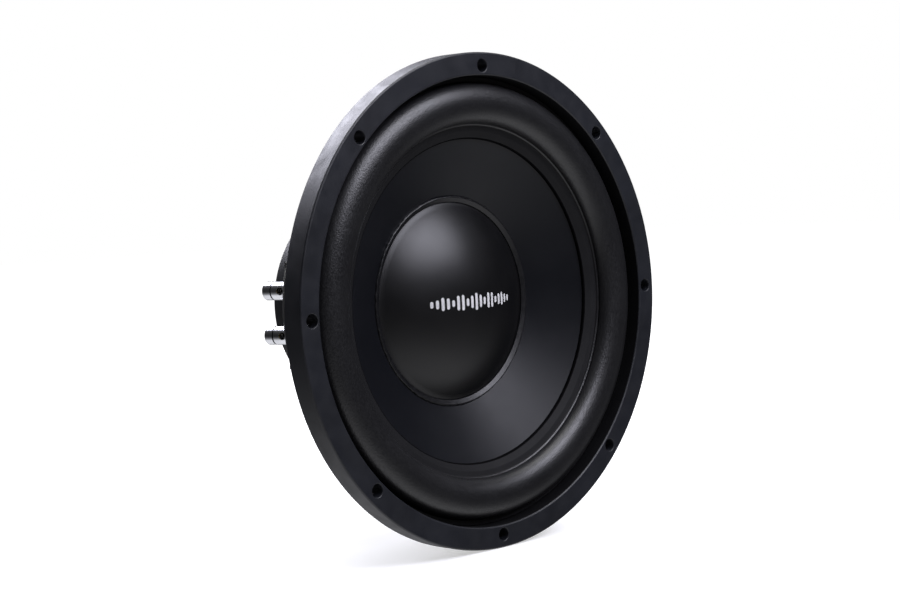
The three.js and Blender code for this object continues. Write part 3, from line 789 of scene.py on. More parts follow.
def tinsel_braid():
    """Tinned copper threads, with a tone that varies at random."""
    look = Look("tinsel_braid", (0.62, 0.43, 0.28), 0.34, Metallic=1.0)
    look.colours(look.noise(0.8, 4.0), (0.33, 0.2, 0.12), (0.72, 0.55, 0.4))
    look.relief(look.noise(0.22, 2.0), 0.05)
    return look.material


# ---- rim ------------------------------------------------------------------------------------------

def flared_drill(radius, front, rear, flare):
    """A cutter for a hole along Y whose front edge is rounded by a flare."""
    wide = radius + flare
    mouth = arc(wide, front + flare, flare, 270, 180, 5)
    return [(0, front - 2), (wide, front - 2), *mouth, (radius, rear), (0, rear)]


def gasket_ring():
    """The thick trim ring, with a skirt round the flange and eight holes."""
    ring = Ring("gasket_ring")
    seat = -SHEET - GAP
    skirt = ring.outer - SKIRT_THICKNESS
    outline = rounded([
        (ring.inner, seat, 0.3),
        (ring.inner, ring.front, GASKET_EDGE),
        (ring.outer, ring.front, GASKET_EDGE),
        (ring.outer, ring.rear, 0.5),
        (skirt, ring.rear, 0.3),
        (skirt, seat),
    ], steps=5)
    obj = build("gasket", turned(outline, RIM_SEGMENTS))
    drill = turned(flared_drill(GASKET_HOLE_RADIUS, ring.front, 2, 0.6), SMALL_SEGMENTS)
    cut(obj, in_circle(drill, BOLT_CIRCLE_RADIUS, BOLT_COUNT))
    dress(obj, gasket_rubber(), "gasket_rubber", "frame", "gasket_ring")
    obj.data.materials.append(gasket_bore_painted_shade())
    # faces on the inner wall get the painted shade
    bore = (ring.inner + 0.1) * MM
    for face in obj.data.polygons:
        face.material_index = int(math.hypot(face.center.x, face.center.z) < bore)


# ---- basket ---------------------------------------------------------------------------------------

class Profile:
    """A line of (radius, y) points that can be walked by its length."""

    def __init__(self, line):
        self.line = [Vector(p) for p in line]
        self.stations = [0.0]
        for before, after in zip(self.line, self.line[1:]):
            self.stations.append(self.stations[-1] + (after - before).length)
        self.length = self.stations[-1]

    def at(self, s):
        """The point at a length, and the unit normal there on the line's rear side."""
        s = min(max(s, 0), self.length - TINY)
        i = next(k for k, end in enumerate(self.stations[1:]) if end > s)
        share = (s - self.stations[i]) / (self.stations[i + 1] - self.stations[i])
        way = (self.line[i + 1] - self.line[i]).normalized()
        return self.line[i].lerp(self.line[i + 1], share), Vector((way.y, -way.x))

    def where(self, test):
        """The length at which a point of the line first passes a test."""
        steps = 4000
        return next(self.length * k / steps for k in range(steps + 1)
                    if test(self.at(self.length * k / steps)[0]))


def basket_profile():
    """The middle of the basket's sheet, from the flange's edge to the hole in its floor."""
    flange = Ring("basket")
    rise = math.tan(TERMINAL_SPLAY)
    line = [
        (flange.outer, -SHEET / 2),
        (139, -SHEET / 2, 2.5),
        (134.4, 9, 6),
        (130, 28, 20),
        (124.6, 41, 4),
        (119.5, LEDGE_Y - 22.5 * rise, 4),
        (98, LEDGE_Y - rise, 2),
        (95, LEDGE_Y, 2),
        (82, LEDGE_Y, 3),
        (78.5, LEDGE_Y + 3, 3),
        (71, FLOOR_Y - 6, 5),
        (66, FLOOR_Y, 4),
        (FLOOR_HOLE_RADIUS, FLOOR_Y),
    ]
    return Profile(rounded(line, closed=False, steps=5))


class Basket:
    """The sheet of the basket: rows of points round the axis, and cells with an opening in each."""

    columns = 30                  # in the 60 degrees from one spoke to the next
    sector = FULL_TURN / SPOKE_COUNT
    lip_width = 3.5
    lip_height = 0.8
    rib_half_width = 13
    rib_height = 2.0
    rib_steepness = 1.6
    rib_start = 6                 # from a window's outer edge to the start of a rib
    rib_end = 4
    rib_rise = 9                  # length in which a rib rises
    window_steps = 40
    slot_steps = 10
    ring_shares = (0, 0.015, 0.04, 0.075, 0.12, 0.18, 0.26, 0.36, 0.48, 0.6, 0.7, 0.8, 0.9, 1)

    def __init__(self):
        self.profile = basket_profile()
        self.points = []
        self.faces = []

    def point(self, angle, s, lift=0.0):
        """Adds the point at an angle and a length along the profile, lifted off the rear face."""
        place, normal = self.profile.at(s)
        radius, y = place + normal * lift
        self.points.append(Vector((radius * math.cos(angle), y, radius * math.sin(angle))))
        return len(self.points) - 1

    def rows(self, start, end, spacing=1.8):
        """Plain rows all the way round between two lengths."""
        steps = math.ceil((end - start) / spacing)
        count = self.columns * SPOKE_COUNT
        grid = [[self.point(FULL_TURN * j / count, start + (end - start) * i / steps)
                 for j in range(count)] for i in range(steps + 1)]
        for low, high in zip(grid, grid[1:]):
            for j in range(count):
                k = (j + 1) % count
                self.faces.append([low[j], low[k], high[k], high[j]])

    def cell(self, spoke, start, end, half_width, low, high, corner, side_steps, ribbed):
        """The sheet round one opening, which is half_width to each side of the cell's middle and
        reaches from low to high along the profile."""
        middle = (spoke + 0.5) * self.sector
        scale = self.profile.at((low + high) / 2)[0].x
        half_cell = self.sector / 2 * scale
        across = [half_cell * (2 * i / self.columns - 1) for i in range(self.columns + 1)]
        along = [start + (end - start) * i / side_steps for i in range(side_steps + 1)]
        outside = [(u, start) for u in across[:-1]]
        outside += [(half_cell, s) for s in along[:-1]]
        outside += [(u, end) for u in across[:0:-1]]
        outside += [(-half_cell, s) for s in along[:0:-1]]
        rings = []
        for share in self.ring_shares:
            ring = []
            for u, s in outside:
                near = Vector((
                    min(max(u, corner - half_width), half_width - corner),
                    min(max(s, low + corner), high - corner),
                ))
                edge = near + (Vector((u, s)) - near).normalized() * corner
                place = edge.lerp(Vector((u, s)), share)
                lift = 0
                if ribbed:
                    lift = self.lip_height * smooth_step(1 - (place - edge).length / self.lip_width)
                    lift += self.rib(spoke, place, scale, low, high)
                ring.append(self.point(middle + place.x / scale, place.y, lift))
            rings.append(ring)
        for inner, outer in zip(rings, rings[1:]):
            for j in range(len(outside)):
                k = (j + 1) % len(outside)
                self.faces.append([inner[j], inner[k], outer[k], outer[j]])

    def rib(self, spoke, place, scale, low, high):
        """The height of the rib pressed into each spoke, but not where the terminals sit."""
        side = 1 if place.x > 0 else 0
        if (spoke + side) % SPOKE_COUNT == TERMINAL_SPOKE:
            return 0
        aside = self.sector / 2 * scale - abs(place.x)
        along = min(place.y - low - self.rib_start, high - self.rib_end - place.y)
        swell = smooth_step(self.rib_steepness * (1 - aside / self.rib_half_width))
        return self.rib_height * swell * smooth_step(along / self.rib_rise)

    def shape(self):
        """All of the sheet as one shape."""
        profile = self.profile
        window_low = profile.where(lambda p: p.x < WINDOW_OUTER_RADIUS and p.y > 5)
        window_high = profile.where(lambda p: p.x < WINDOW_INNER_RADIUS)
        wall_low = profile.where(lambda p: p.x < WALL_RADIUS)
        slot_middle = profile.where(lambda p: p.y > SLOT_Y)
        wall_high = slot_middle + (slot_middle - wall_low)
        start = window_low - WINDOW_OUTER_MARGIN
        end = window_high + WINDOW_INNER_MARGIN
        self.rows(0, start)
        self.rows(end, wall_low)
        self.rows(wall_high, profile.length - TINY)
        window_half = WINDOW_HALF_ANGLE * profile.at((window_low + window_high) / 2)[0].x
        slot_low = slot_middle - SLOT_HALF_HEIGHT
        slot_high = slot_middle + SLOT_HALF_HEIGHT
        slot_corner = SLOT_HALF_HEIGHT - 0.01
        for spoke in range(SPOKE_COUNT):
            self.cell(spoke, start, end, window_half, window_low, window_high, WINDOW_CORNER,
                      self.window_steps, True)
            self.cell(spoke, wall_low, wall_high, SLOT_HALF_WIDTH, slot_low, slot_high, slot_corner,
                      self.slot_steps, False)
        return self.points, self.faces


def basket():
    """The pressed steel frame."""
    obj = build("basket_frame", Basket().shape())
    merge(obj)
    shade(obj)
    thick = obj.modifiers.new("sheet", "SOLIDIFY")
    thick.thickness = SHEET * MM
    thick.offset = 0
    edges = obj.modifiers.new("edges", "BEVEL")
    edges.width = SHEET_EDGE * MM
    edges.segments = 2
    edges.limit_method = "ANGLE"
    edges.angle_limit = math.radians(60)
    apply_modifiers(obj)
    cut(obj, basket_drills())
    dress(obj, basket_paint(), "basket_paint", "frame", "basket")


def basket_drills():
    """Cutters for the screw holes, the rivet holes and the terminals' holes."""
    screw = rod(FLANGE_HOLE_RADIUS, -6, 5)
    rivet = rod(MOTOR_RIVET_HOLE_RADIUS, 60, 90)
    post = rod(POST_HOLE_RADIUS, -12, 2)
    pin = rod(PANEL_RIVET_HOLE_RADIUS, -12, 2)
    drills = [
        in_circle(screw, BOLT_CIRCLE_RADIUS, BOLT_COUNT),
        in_circle(rivet, MOTOR_RIVET_CIRCLE, MOTOR_RIVET_COUNT, 0.5),
    ]
    drills += [placed(post, on_panel(0, side * TERMINAL_SPACING / 2)) for side in (1, -1)]
    drills += [placed(pin, on_panel(x, 0)) for x in PANEL_RIVET_X]
    return joined(drills)


# ---- surround, cone and dust cap ------------------------------------------------------------------

def radial_weight(inner, outer):
    """A weight that is 1 up to an inner radius, and falls to 0 at an outer one."""
    return lambda p: smooth_step((outer - math.hypot(p.x, p.z)) / (outer - inner))


def half_roll(half_width, height, steps=48):
    """Points over the roll from its outer foot to its inner one, without the feet."""
    angles = [math.pi * i / steps for i in range(1, steps)]
    return [
        (ROLL_CENTRE_RADIUS + half_width * math.cos(a), ROLL_BASE_Y - height * math.sin(a))
        for a in angles
    ]


def surround():
    """The half roll, with its outer land, a bead at its inner foot and a lip on the cone."""
    def lip(radius):
        return cone_y(radius) - GAP

    t = SURROUND_THICKNESS
    seat = -SHEET - GAP
    foot = ROLL_CENTRE_RADIUS - ROLL_HALF_WIDTH
    land = ROLL_CENTRE_RADIUS + ROLL_HALF_WIDTH
    edge = LIP_INNER_RADIUS + LIP_SHADE_WIDTH
    outside = half_roll(ROLL_HALF_WIDTH, ROLL_HEIGHT)
    inside = half_roll(ROLL_HALF_WIDTH - t, ROLL_HEIGHT - t)
    front = rounded([
        (SURROUND_LAND_RADIUS, seat - t, 0.3),
        (land + 0.6, seat - t, 0.5),
        outside[0],
    ], closed=False)
    bead = rounded([
        (foot + 0.35, ROLL_BASE_Y + 0.2),
        (foot + 0.25, lip(foot) - t + 0.3, 0.15),
        (foot + 0.1, lip(foot) - t - 0.75, 0.25),
        (foot - 0.9, lip(foot - 0.9) - t - 0.55, 0.3),
        (foot - 1.4, lip(foot - 1.4) - t + 0.1, 0.4),
        (foot - 4.4, lip(foot - 4.4) - t - 0.45, 1.6),
        (edge, lip(edge) - t),
        (LIP_INNER_RADIUS + 0.2, lip(LIP_INNER_RADIUS) - t, 0.3),
        (LIP_INNER_RADIUS, lip(LIP_INNER_RADIUS)),
    ], closed=False)
    rear = [
        (foot - 0.4, lip(foot - 0.4)),
        *inside[::-1],
        (land + 1, seat),
        (SURROUND_LAND_RADIUS, seat),
    ]
    obj = build("surround_roll", turned(front[:-1] + outside + bead + rear, RIM_SEGMENTS))
    dress(obj, surround_rubber(), "surround_rubber", None, "surround")
    obj.data.materials.append(lip_rubber())
    obj.data.materials.append(lip_painted_shade())
    # the lip gets its dull rubber, and its inner edge the painted shade
    for face in obj.data.polygons:
        radius = math.hypot(face.center.x, face.center.z) / MM
        face.material_index = int(radius < foot - 1) + int(radius < edge)
    stretch(obj, radial_weight(foot, land))


def cone():
    """The straight-sided diaphragm, with a rounded rim and neck."""
    ring = Ring("cone")
    outline = rounded([
        (ring.outer, cone_y(ring.outer), 0.4),
        (ring.outer, cone_y(ring.outer) + CONE_THICKNESS, 0.4),
        (ring.inner, cone_y(ring.inner) + CONE_THICKNESS, 0.3),
        (ring.inner, cone_y(ring.inner), 0.3),
    ])
    obj = build("cone_diaphragm", turned(outline, RIM_SEGMENTS))
    dress(obj, cone_satin(), "cone_satin", "moving_assembly", "cone")


class Dome:
    """A part of a sphere with its top at the front."""

    def __init__(self, radius, height, base_y):
        self.radius = radius
        self.base_y = base_y
        self.sphere = (radius ** 2 + height ** 2) / (2 * height)
        self.centre_y = base_y - height + self.sphere

    def y(self, radius):
        return self.centre_y - math.sqrt(self.sphere ** 2 - radius ** 2)

    def line(self, steps=36):
        """Points from the top to the edge."""
        return [(self.radius * i / steps, self.y(self.radius * i / steps)) for i in range(steps + 1)]


def cap_dome():
    ring = Ring("dust_cap")
    return Dome(ring.outer, ring.rear - ring.front, ring.rear)


def dust_cap():
    """The domed cap, with a rounded edge where it is glued."""
    outside = cap_dome()
    inner_height = outside.base_y - outside.y(0) - CAP_THICKNESS
    inside = Dome(outside.radius - CAP_THICKNESS, inner_height, outside.base_y)
    edge = arc(outside.radius - 0.5, outside.base_y - 0.5, 0.5, -40, 90, 4)
    obj = build("cap_dome", turned(outside.line()[:-1] + edge + inside.line()[::-1]))
    dress(obj, cap_matte(), "dust_cap_matte", "moving_assembly", "dust_cap")


def cap_mark():
    """A printed row of upright bars on the dome, like the levels of a sound."""
    dome = cap_dome()
    bars = []
    for i in range(MARK_BARS):
        share = 2 * i / (MARK_BARS - 1) - 1
        wave = abs(math.cos(MARK_WAVES * math.pi * share)) * (1 - MARK_FADE * share ** 2)
        level = MARK_LOWEST + (1 - MARK_LOWEST) * wave
        x = share * (MARK_HALF_WIDTH - MARK_BAR_WIDTH / 2)
        bars.append(mark_bar(dome, x, MARK_HEIGHT * level / 2))
    detail(build("cap_mark", joined(bars)), mark_ink(), "dust_cap_matte", "moving_assembly")


def mark_bar(dome, x, half_height, rows=16):
    """One bar with round ends, a thin closed shape that follows the dome."""
    half = MARK_BAR_WIDTH / 2
    loop = arc(x, half_height - half, half, 0, 180, 8)
    loop += [(x - half, (half_height - half) * (1 - 2 * i / rows)) for i in range(1, rows)]
    loop += [(px, -pz) for px, pz in reversed(loop[:9])]
    loop += [(x + half, (half_height - half) * (2 * i / rows - 1)) for i in range(1, rows)]
    count = len(loop)
    points = []
    for lift in (MARK_THICKNESS, -MARK_SINK):
        points += [Vector((px, dome.y(math.hypot(px, pz)) - lift, pz)) for px, pz in loop]
    faces = [[j, (j + 1) % count, count + (j + 1) % count, count + j] for j in range(count)]
    # the bar is symmetrical, so each face of it is a ladder of quads between its two sides
    for start in (0, count):
        left = [start + (4 + j) % count for j in range(count // 2 + 1)]
        right = [start + (4 - j) % count for j in range(count // 2 + 1)]
        for j in range(count // 2):
            rung = list(dict.fromkeys((left[j], left[j + 1], right[j + 1], right[j])))
            if len(rung) > 2:
                faces.append(rung)
    return points, faces


def uneven_edge(amount, start, end, scale=0.05):
    """Makes a turned bead swell and shrink round the axis, as glue does, more from start to end."""
    def reach(radius, y, angle):
        share = amount * smooth_step((radius - start) / (end - start))
        place = Vector((math.cos(angle), math.sin(angle), 0)) / scale
        return radius + share * noise.noise(place), y + share * 0.6 * noise.noise(place * 1.7)
    return reach


def cap_glue_bead():
    """The flat band of glue round the cap, uneven at its outer edge."""
    ring = Ring("cap_glue_bead")
    inner = ring.inner - 0.2
    shoulder = ring.outer - 0.7
    height = 1.7
    outline = rounded([
        (inner, cone_y(inner) - 0.1),
        (inner, cone_y(inner) - height, 0.4),
        (shoulder, cone_y(shoulder) - height, 0.7),
        (ring.outer, cone_y(ring.outer) - 0.1),
    ], steps=6)
    edge = uneven_edge(0.5, shoulder - 0.8, ring.outer)
    obj = build("cap_glue", turned(outline, 4 * RING_SEGMENTS, edge))
    dress(obj, glue("cap_glue_satin", 0.36, 0.02), "glue", "moving_assembly", "cap_glue_bead")


def former_glue():
    """The glue fillet between the cone's neck and the former."""
    ring = Ring("former_glue_collar")
    outline = rounded([
        (ring.inner, ring.rear - 0.1),
        (ring.inner, ring.front + 2.2),
        (ring.outer, ring.front + 0.1),
        (ring.inner + 1.6, (ring.front + ring.rear) / 2, 1.0),
    ], steps=5)
    obj = build("former_glue", turned(outline))
    dress(obj, glue("former_glue_gloss"), "glue", "moving_assembly", "former_glue_collar")


# ---- voice coil and spider ------------------------------------------------------------------------

def former():
    ring = Ring("voice_coil_former")
    outline = band(ring.inner, ring.outer, ring.front, ring.rear, 0.2, 0.2)
    obj = build("coil_former", turned(outline))
    look = metal("former_aluminium", (0.78, 0.79, 0.8), 0.28, 0.42, 0.01)
    dress(obj, look, "former_aluminium", "moving_assembly", "voice_coil_former")


def winding():
    """The coil, one ridge for each turn of wire."""
    ring = Ring("voice_coil_winding")
    turns = 50
    ridge = 0.12
    step = (ring.rear - ring.front) / turns / 4
    wires = [
        (ring.outer - ridge + ridge * math.cos(i * FULL_TURN / 4), ring.front + i * step)
        for i in range(4 * turns + 1)
    ]
    shape = turned([(ring.inner, ring.front), *wires, (ring.inner, ring.rear)])
    obj = build("coil_winding", shape, math.pi)
    look = metal("copper_wire", (0.72, 0.32, 0.17), 0.25, 0.4, 0.01)
    dress(obj, look, "copper_wire", "moving_assembly", "voice_coil_winding")


def spider():
    """The corrugated cloth ring, glued flat on the ledge and on the former."""
    ring = Ring("spider")
    thickness = 1.0
    roll_outer = 80
    roll_inner = 39
    waves = 4
    wave_height = 2.2
    land = (ring.front + ring.rear) / 2
    steps = 96
    roll = []
    for i in range(steps + 1):
        share = i / steps
        swell = smooth_step(share * 8) * smooth_step((1 - share) * 8)
        y = land - wave_height * swell * math.sin(share * waves * FULL_TURN)
        roll.append((roll_outer + (roll_inner - roll_outer) * share, y))
    line = [(ring.outer, land), (roll_outer + 6, land), *roll, (ring.inner, land)]
    obj = build("spider_ring", turned(sheet_outline(line, thickness), RIM_SEGMENTS))
    dress(obj, spider_cloth(), "spider_cloth", None, "spider")
    weight = radial_weight(roll_inner, roll_outer)
    stretch(obj, weight)


# ---- motor ----------------------------------------------------------------------------------------

def top_plate():
    ring = Ring("top_plate")
    obj = build("front_plate", turned(band(ring.inner, ring.outer, ring.front, ring.rear, 0.5, 0.8)))
    drill = rod(MOTOR_RIVET_HOLE_RADIUS, ring.front - 1, ring.front + 6)
    cut(obj, in_circle(drill, MOTOR_RIVET_CIRCLE, MOTOR_RIVET_COUNT, 0.5))
    look = metal("plate_steel", (0.3, 0.3, 0.31), 0.3, 0.5, 0.015, turning=True)
    dress(obj, look, "motor_steel", "frame", "top_plate")


def magnet():
    ring = Ring("magnet")
    obj = build("ferrite_ring", turned(band(ring.inner, ring.outer, ring.front, ring.rear, 0.8, 1.2)))
    dress(obj, ferrite(), "ferrite", "frame", "magnet")


def t_yoke():
    """The pole and back plate, with a flared vent and a turned groove."""
    ring = Ring("t_yoke")
    plate = ring.rear - YOKE_PLATE_THICKNESS
    vent = ring.inner
    outline = rounded([
        (vent, ring.front, 0.8),
        (YOKE_POLE_RADIUS, ring.front, 1.2),
        (YOKE_POLE_RADIUS, plate, 1.0),
        (ring.outer, plate, 0.8),
        (ring.outer, ring.rear, 0.8),
        *groove(36.5, 33.5, ring.rear, 0.5, 0.3, 0.2),
        (vent + 5, ring.rear, 1.6),
        (vent, ring.rear - 7, 3),
    ], steps=5)
    obj = build("yoke", turned(outline))
    look = metal("yoke_steel", (0.34, 0.34, 0.35), 0.28, 0.46, 0.012, turning=True)
    dress(obj, look, "motor_steel", "frame", "t_yoke")


def magnet_boot():
    """The rubber cover, with a soft rear edge and a shallow groove round the opening."""
    ring = Ring("magnet_boot")
    wall = 3
    inner = ring.outer - wall
    plate = ring.rear - wall
    outline = rounded([
        (inner, ring.front, 0.4),
        (ring.outer, ring.front, 0.9),
        (ring.outer, ring.rear, 4.5),
        *groove(54, 50, ring.rear, 0.6, 0.6, 0.4),
        (ring.inner, ring.rear, 1.4),
        (ring.inner, plate, 0.3),
        (inner, plate, 0.8),
    ], steps=7)
    obj = build("boot", turned(outline, RIM_SEGMENTS))
    dress(obj, boot_rubber(), "boot_rubber", "frame", "magnet_boot")


def motor_rivets():
    """Four domed rivets in the basket's floor."""
    ring = Ring("motor_rivet_1")
    edge = ring.front + 1.5
    seat = ring.front + 2
    shank = rounded([
        (MOTOR_RIVET_HEAD_RADIUS, edge),
        (MOTOR_RIVET_HEAD_RADIUS, seat, 0.2),
        (MOTOR_RIVET_RADIUS, seat, 0.2),
        (MOTOR_RIVET_RADIUS, ring.rear, 0.3),
        (0, ring.rear),
    ], closed=False)
    outline = rivet_dome(MOTOR_RIVET_HEAD_RADIUS, edge, ring.front - edge, 8) + shank[1:]
    look = metal("rivet_steel", (0.55, 0.56, 0.57), 0.25, 0.42, 0.01)
    for i in range(MOTOR_RIVET_COUNT):
        turn = turn_about_axis(-(i + 0.5) * FULL_TURN / MOTOR_RIVET_COUNT)
        matrix = turn @ Matrix.Translation((MOTOR_RIVET_CIRCLE, 0, 0))
        obj = build(f"motor_rivet_head_{i + 1}", placed(turned(outline, SMALL_SEGMENTS), matrix))
        dress(obj, look, "rivet_steel", "frame", f"motor_rivet_{i + 1}")


# ---- terminals ------------------------------------------------------------------------------------

def terminal_panel():
    """The insulating plate on its spoke, with a moulded plus and minus beside the terminals."""
    corner = 3
    outline = []
    right = PANEL_INNER_X - corner
    left = PANEL_OUTER_X + corner
    top = PANEL_HALF_LENGTH - corner
    for x, z, start in ((right, top, 0), (left, top, 90), (left, -top, 180), (right, -top, 270)):
        outline += arc(x, z, corner, start, start + 90, 6)
    holes = [circle(0, side * TERMINAL_SPACING / 2, POST_HOLE_RADIUS) for side in (1, -1)]
    holes += [circle(x, 0, PANEL_RIVET_HOLE_RADIUS) for x in PANEL_RIVET_X]
    obj = plate("panel", outline, holes, -PANEL_THICKNESS, 0, 0.4, on_panel())
    look = black_plastic()
    dress(obj, look, "black_plastic", "frame", "terminal_panel")
    for name, side in (("plus", 1), ("minus", -1)):
        place = on_panel(-8.2, side * (TERMINAL_SPACING / 2 + 5.6))
        mark = plate(f"panel_{name}", sign_outline(side > 0), [], -0.2, 0.35, 0.12, place)
        detail(mark, look, "black_plastic", "frame")


def sign_outline(plus, reach=1.7, half=0.45):
    """The outline of a plus or a minus sign."""
    if not plus:
        return [(-half, -reach), (half, -reach), (half, reach), (-half, reach)]
    return [
        (half, half), (half, reach), (-half, reach), (-half, half), (-reach, half), (-reach, -half),
        (-half, -half), (-half, -reach), (half, -reach), (half, -half), (reach, -half), (reach, half),
    ]


def panel_rivets(look):
    """Domed rivets whose tails are upset behind the spoke."""
    edge = 1
    end = WASHER_HIGH - 1.2
    tail = rounded([
        (PANEL_RIVET_HEAD_RADIUS, edge),
        (PANEL_RIVET_HEAD_RADIUS, GAP, 0.15),
        (PANEL_RIVET_RADIUS, GAP),
        (PANEL_RIVET_RADIUS, WASHER_HIGH),
        (PANEL_RIVET_TAIL_RADIUS, WASHER_HIGH, 0.2),
        (PANEL_RIVET_TAIL_RADIUS, end, 0.4),
        (0, end),
    ], closed=False)
    shape = turned(rivet_dome(PANEL_RIVET_HEAD_RADIUS, edge, 1.3, 6) + tail[1:], SMALL_SEGMENTS)
    for i, x in enumerate(PANEL_RIVET_X):
        obj = build(f"panel_rivet_head_{i + 1}", placed(shape, on_panel(x, 0)))
        dress(obj, look, "rivet_steel", "frame", f"panel_rivet_{i + 1}")


def collar_shape():
    """The insulator under a terminal: a stepped round boss."""
    bore = POST_RADIUS + GAP
    return turned(rounded([
        (bore, GAP), (COLLAR_RADIUS, GAP, 0.3), (COLLAR_RADIUS, COLLAR_HEIGHT - 1.6, 0.4),
        (COLLAR_RADIUS - 0.8, COLLAR_HEIGHT - 1.4, 0.2), (COLLAR_RADIUS - 1, COLLAR_HEIGHT, 0.4),
        (bore, COLLAR_HEIGHT, 0.2),
    ]), SMALL_SEGMENTS)


def post_shape():
    return turned(band(0, POST_RADIUS, -POST_DEPTH, POST_HEIGHT, 0, 0.5), SMALL_SEGMENTS)


def sleeve_shape():
    """The tube of the push button."""
    return turned(rounded([
        (SLEEVE_BORE_RADIUS, SLEEVE_LOW, 0.2),
        (SLEEVE_RADIUS, SLEEVE_LOW, 0.35),
        (SLEEVE_RADIUS, SLEEVE_HIGH, 0.3),
        (SLEEVE_BORE_RADIUS, SLEEVE_HIGH, 0.2),
    ]), BUTTON_SEGMENTS)


def button_shape():
    """The head of the push button: a flat end with a shallow dish, and a spigot in the sleeve."""
    spigot = SLEEVE_BORE_RADIUS - GAP
    dish = TERMINAL_HEIGHT - DISH_DEPTH
    return turned(rounded([
        (0, CAP_LOW - SPIGOT_DEPTH),
        (spigot, CAP_LOW - SPIGOT_DEPTH, 0.3),
        (spigot, CAP_LOW),
        (SLEEVE_RADIUS, CAP_LOW, 0.3),
        (SLEEVE_RADIUS, TERMINAL_HEIGHT, 0.7),
        (DISH_RADIUS, TERMINAL_HEIGHT, 0.3),
        (DISH_RADIUS - 0.4, dish, 0.3),
        (0, dish),
    ], closed=False), BUTTON_SEGMENTS)


def cross_drill(radius, height):
    """A cutter across a terminal."""
    level = Matrix.Translation((0, height, 0)) @ Matrix.Rotation(math.pi / 2, 4, "Z")
    return placed(rod(radius, -9, 9), level)


def nut_shape():
    """A hexagon nut with its corners turned off."""
    high = WASHER_HIGH - WASHER_THICKNESS - TAB_THICKNESS - 2 * GAP
    low = high - NUT_THICKNESS
    flat = NUT_RADIUS * math.cos(math.pi / 6)
    bore = POST_RADIUS + GAP

    def hexagon(radius, y, angle):
        if radius < NUT_RADIUS:
            return radius, y
        side = flat / math.cos(math.remainder(angle - math.pi / 6, math.pi / 3))
        turned_off = (side - flat) * 0.55
        return side, min(max(y, low + turned_off), high - turned_off)

    outline = [
        (bore, low),
        (flat - 0.1, low),
        (NUT_RADIUS, low),
        (NUT_RADIUS, high),
        (flat - 0.1, high),
        (bore, high),
    ]
    return turned(outline, SMALL_SEGMENTS, hexagon)


def spring_path():
    """The middle of the spring's wire, from the post's end to the button's spigot."""
    low = POST_HEIGHT + GAP + SPRING_WIRE_RADIUS
    high = CAP_LOW - SPIGOT_DEPTH - GAP - SPRING_WIRE_RADIUS
    steps = SPRING_TURNS * 32
    path = []
    for i in range(steps + 1):
        angle = i * SPRING_TURNS * FULL_TURN / steps
        y = low + (high - low) * i / steps
        path.append(Vector((SPRING_RADIUS * math.cos(angle), y, SPRING_RADIUS * math.sin(angle))))
    return path


def solder_tab_outline(side):
    """A ring with a tongue that points away from the other terminal."""
    start = math.degrees(math.asin(TAB_HALF_WIDTH / TAB_RING_RADIUS))
    outline = arc(0, 0, TAB_RING_RADIUS, 90 + start, 450 - start, 40)
    outline += arc(0, TAB_REACH, TAB_HALF_WIDTH, 0, 180, 12)
    return [(x, side * z) for x, z in outline]


def terminal(label, side, looks):
    """One push terminal: its fixed parts ride on the frame, and its button on a body of its own."""
    place = on_panel(0, side * TERMINAL_SPACING / 2)
    back = place.inverted()
    bore = POST_RADIUS + GAP
    button = f"{label}_push_button"

    def part(name, shape, look, slot, body, drill=None):
        obj = build(f"{label}_{name}", placed(shape, place))
        if drill:
            cut(obj, placed(drill, place))
        dress(obj, looks[look], slot, body, f"{label}_terminal_{name}")
        obj.name = f"{label}_{name}_fine"
        return obj

    part("collar", collar_shape(), "plastic", "black_plastic", "frame")
    part("post", post_shape(), "brass", "contact_brass", "frame",
         cross_drill(WIRE_HOLE_RADIUS - 0.7, WIRE_HOLE_HEIGHT - PUSH_TRAVEL))
    part("sleeve", sleeve_shape(), "chrome", "chrome", button,
         cross_drill(WIRE_HOLE_RADIUS, WIRE_HOLE_HEIGHT))
    head = part("cap", button_shape(), "chrome", "chrome", button)
    # the head's seat gets black plastic: painted shade that shows as a dark line in the gap above the
    # sleeve
    head.data.materials.append(looks["plastic"])
    for face in head.data.polygons:
        face.material_index = int((back @ (face.center / MM)).y < CAP_LOW + 0.03)
    part("nut", nut_shape(), "steel", "rivet_steel", "frame")
    washer_low = WASHER_HIGH - WASHER_THICKNESS
    washer = turned(band(bore, WASHER_RADIUS, washer_low, WASHER_HIGH, 0, 0.25), SMALL_SEGMENTS)
    part("washer", washer, "plastic", "black_plastic", "frame")
    high = washer_low - GAP
    outline = solder_tab_outline(side)
    tab = plate(f"{label}_tab", outline, [circle(0, 0, bore)], high - TAB_THICKNESS, high, 0.12, place)
    dress(tab, looks["tinned"], "tinned_brass", "frame", f"{label}_terminal_solder_tab")
    path = spring_path()
    spring = build(f"{label}_spring_wire", placed(wire(path, SPRING_WIRE_RADIUS, 10), place))
    dress(spring, looks["spring"], "spring_steel", None, f"{label}_terminal_spring")
    low = path[0].y
    top = path[-1].y
    stretch(spring, lambda p: min(max(((back @ p).y - low) / (top - low), 0), 1))


# ---- tinsel leads ---------------------------------------------------------------------------------

def curve_points(points, steps=40):
    """A Catmull-Rom curve through points, with so many steps between each two."""
    ends = [2 * points[0] - points[1], *points, 2 * points[-1] - points[-2]]
    path = []
    for i in range(1, len(ends) - 2):
        a, b, c, d = ends[i - 1:i + 3]
        for k in range(steps):
            t = k / steps
            path.append(0.5 * (2 * b + (c - a) * t + (2 * a - 5 * b + 4 * c - d) * t * t
                               + (3 * b - a - 3 * c + d) * t ** 3))
    path.append(points[-1])
    return path


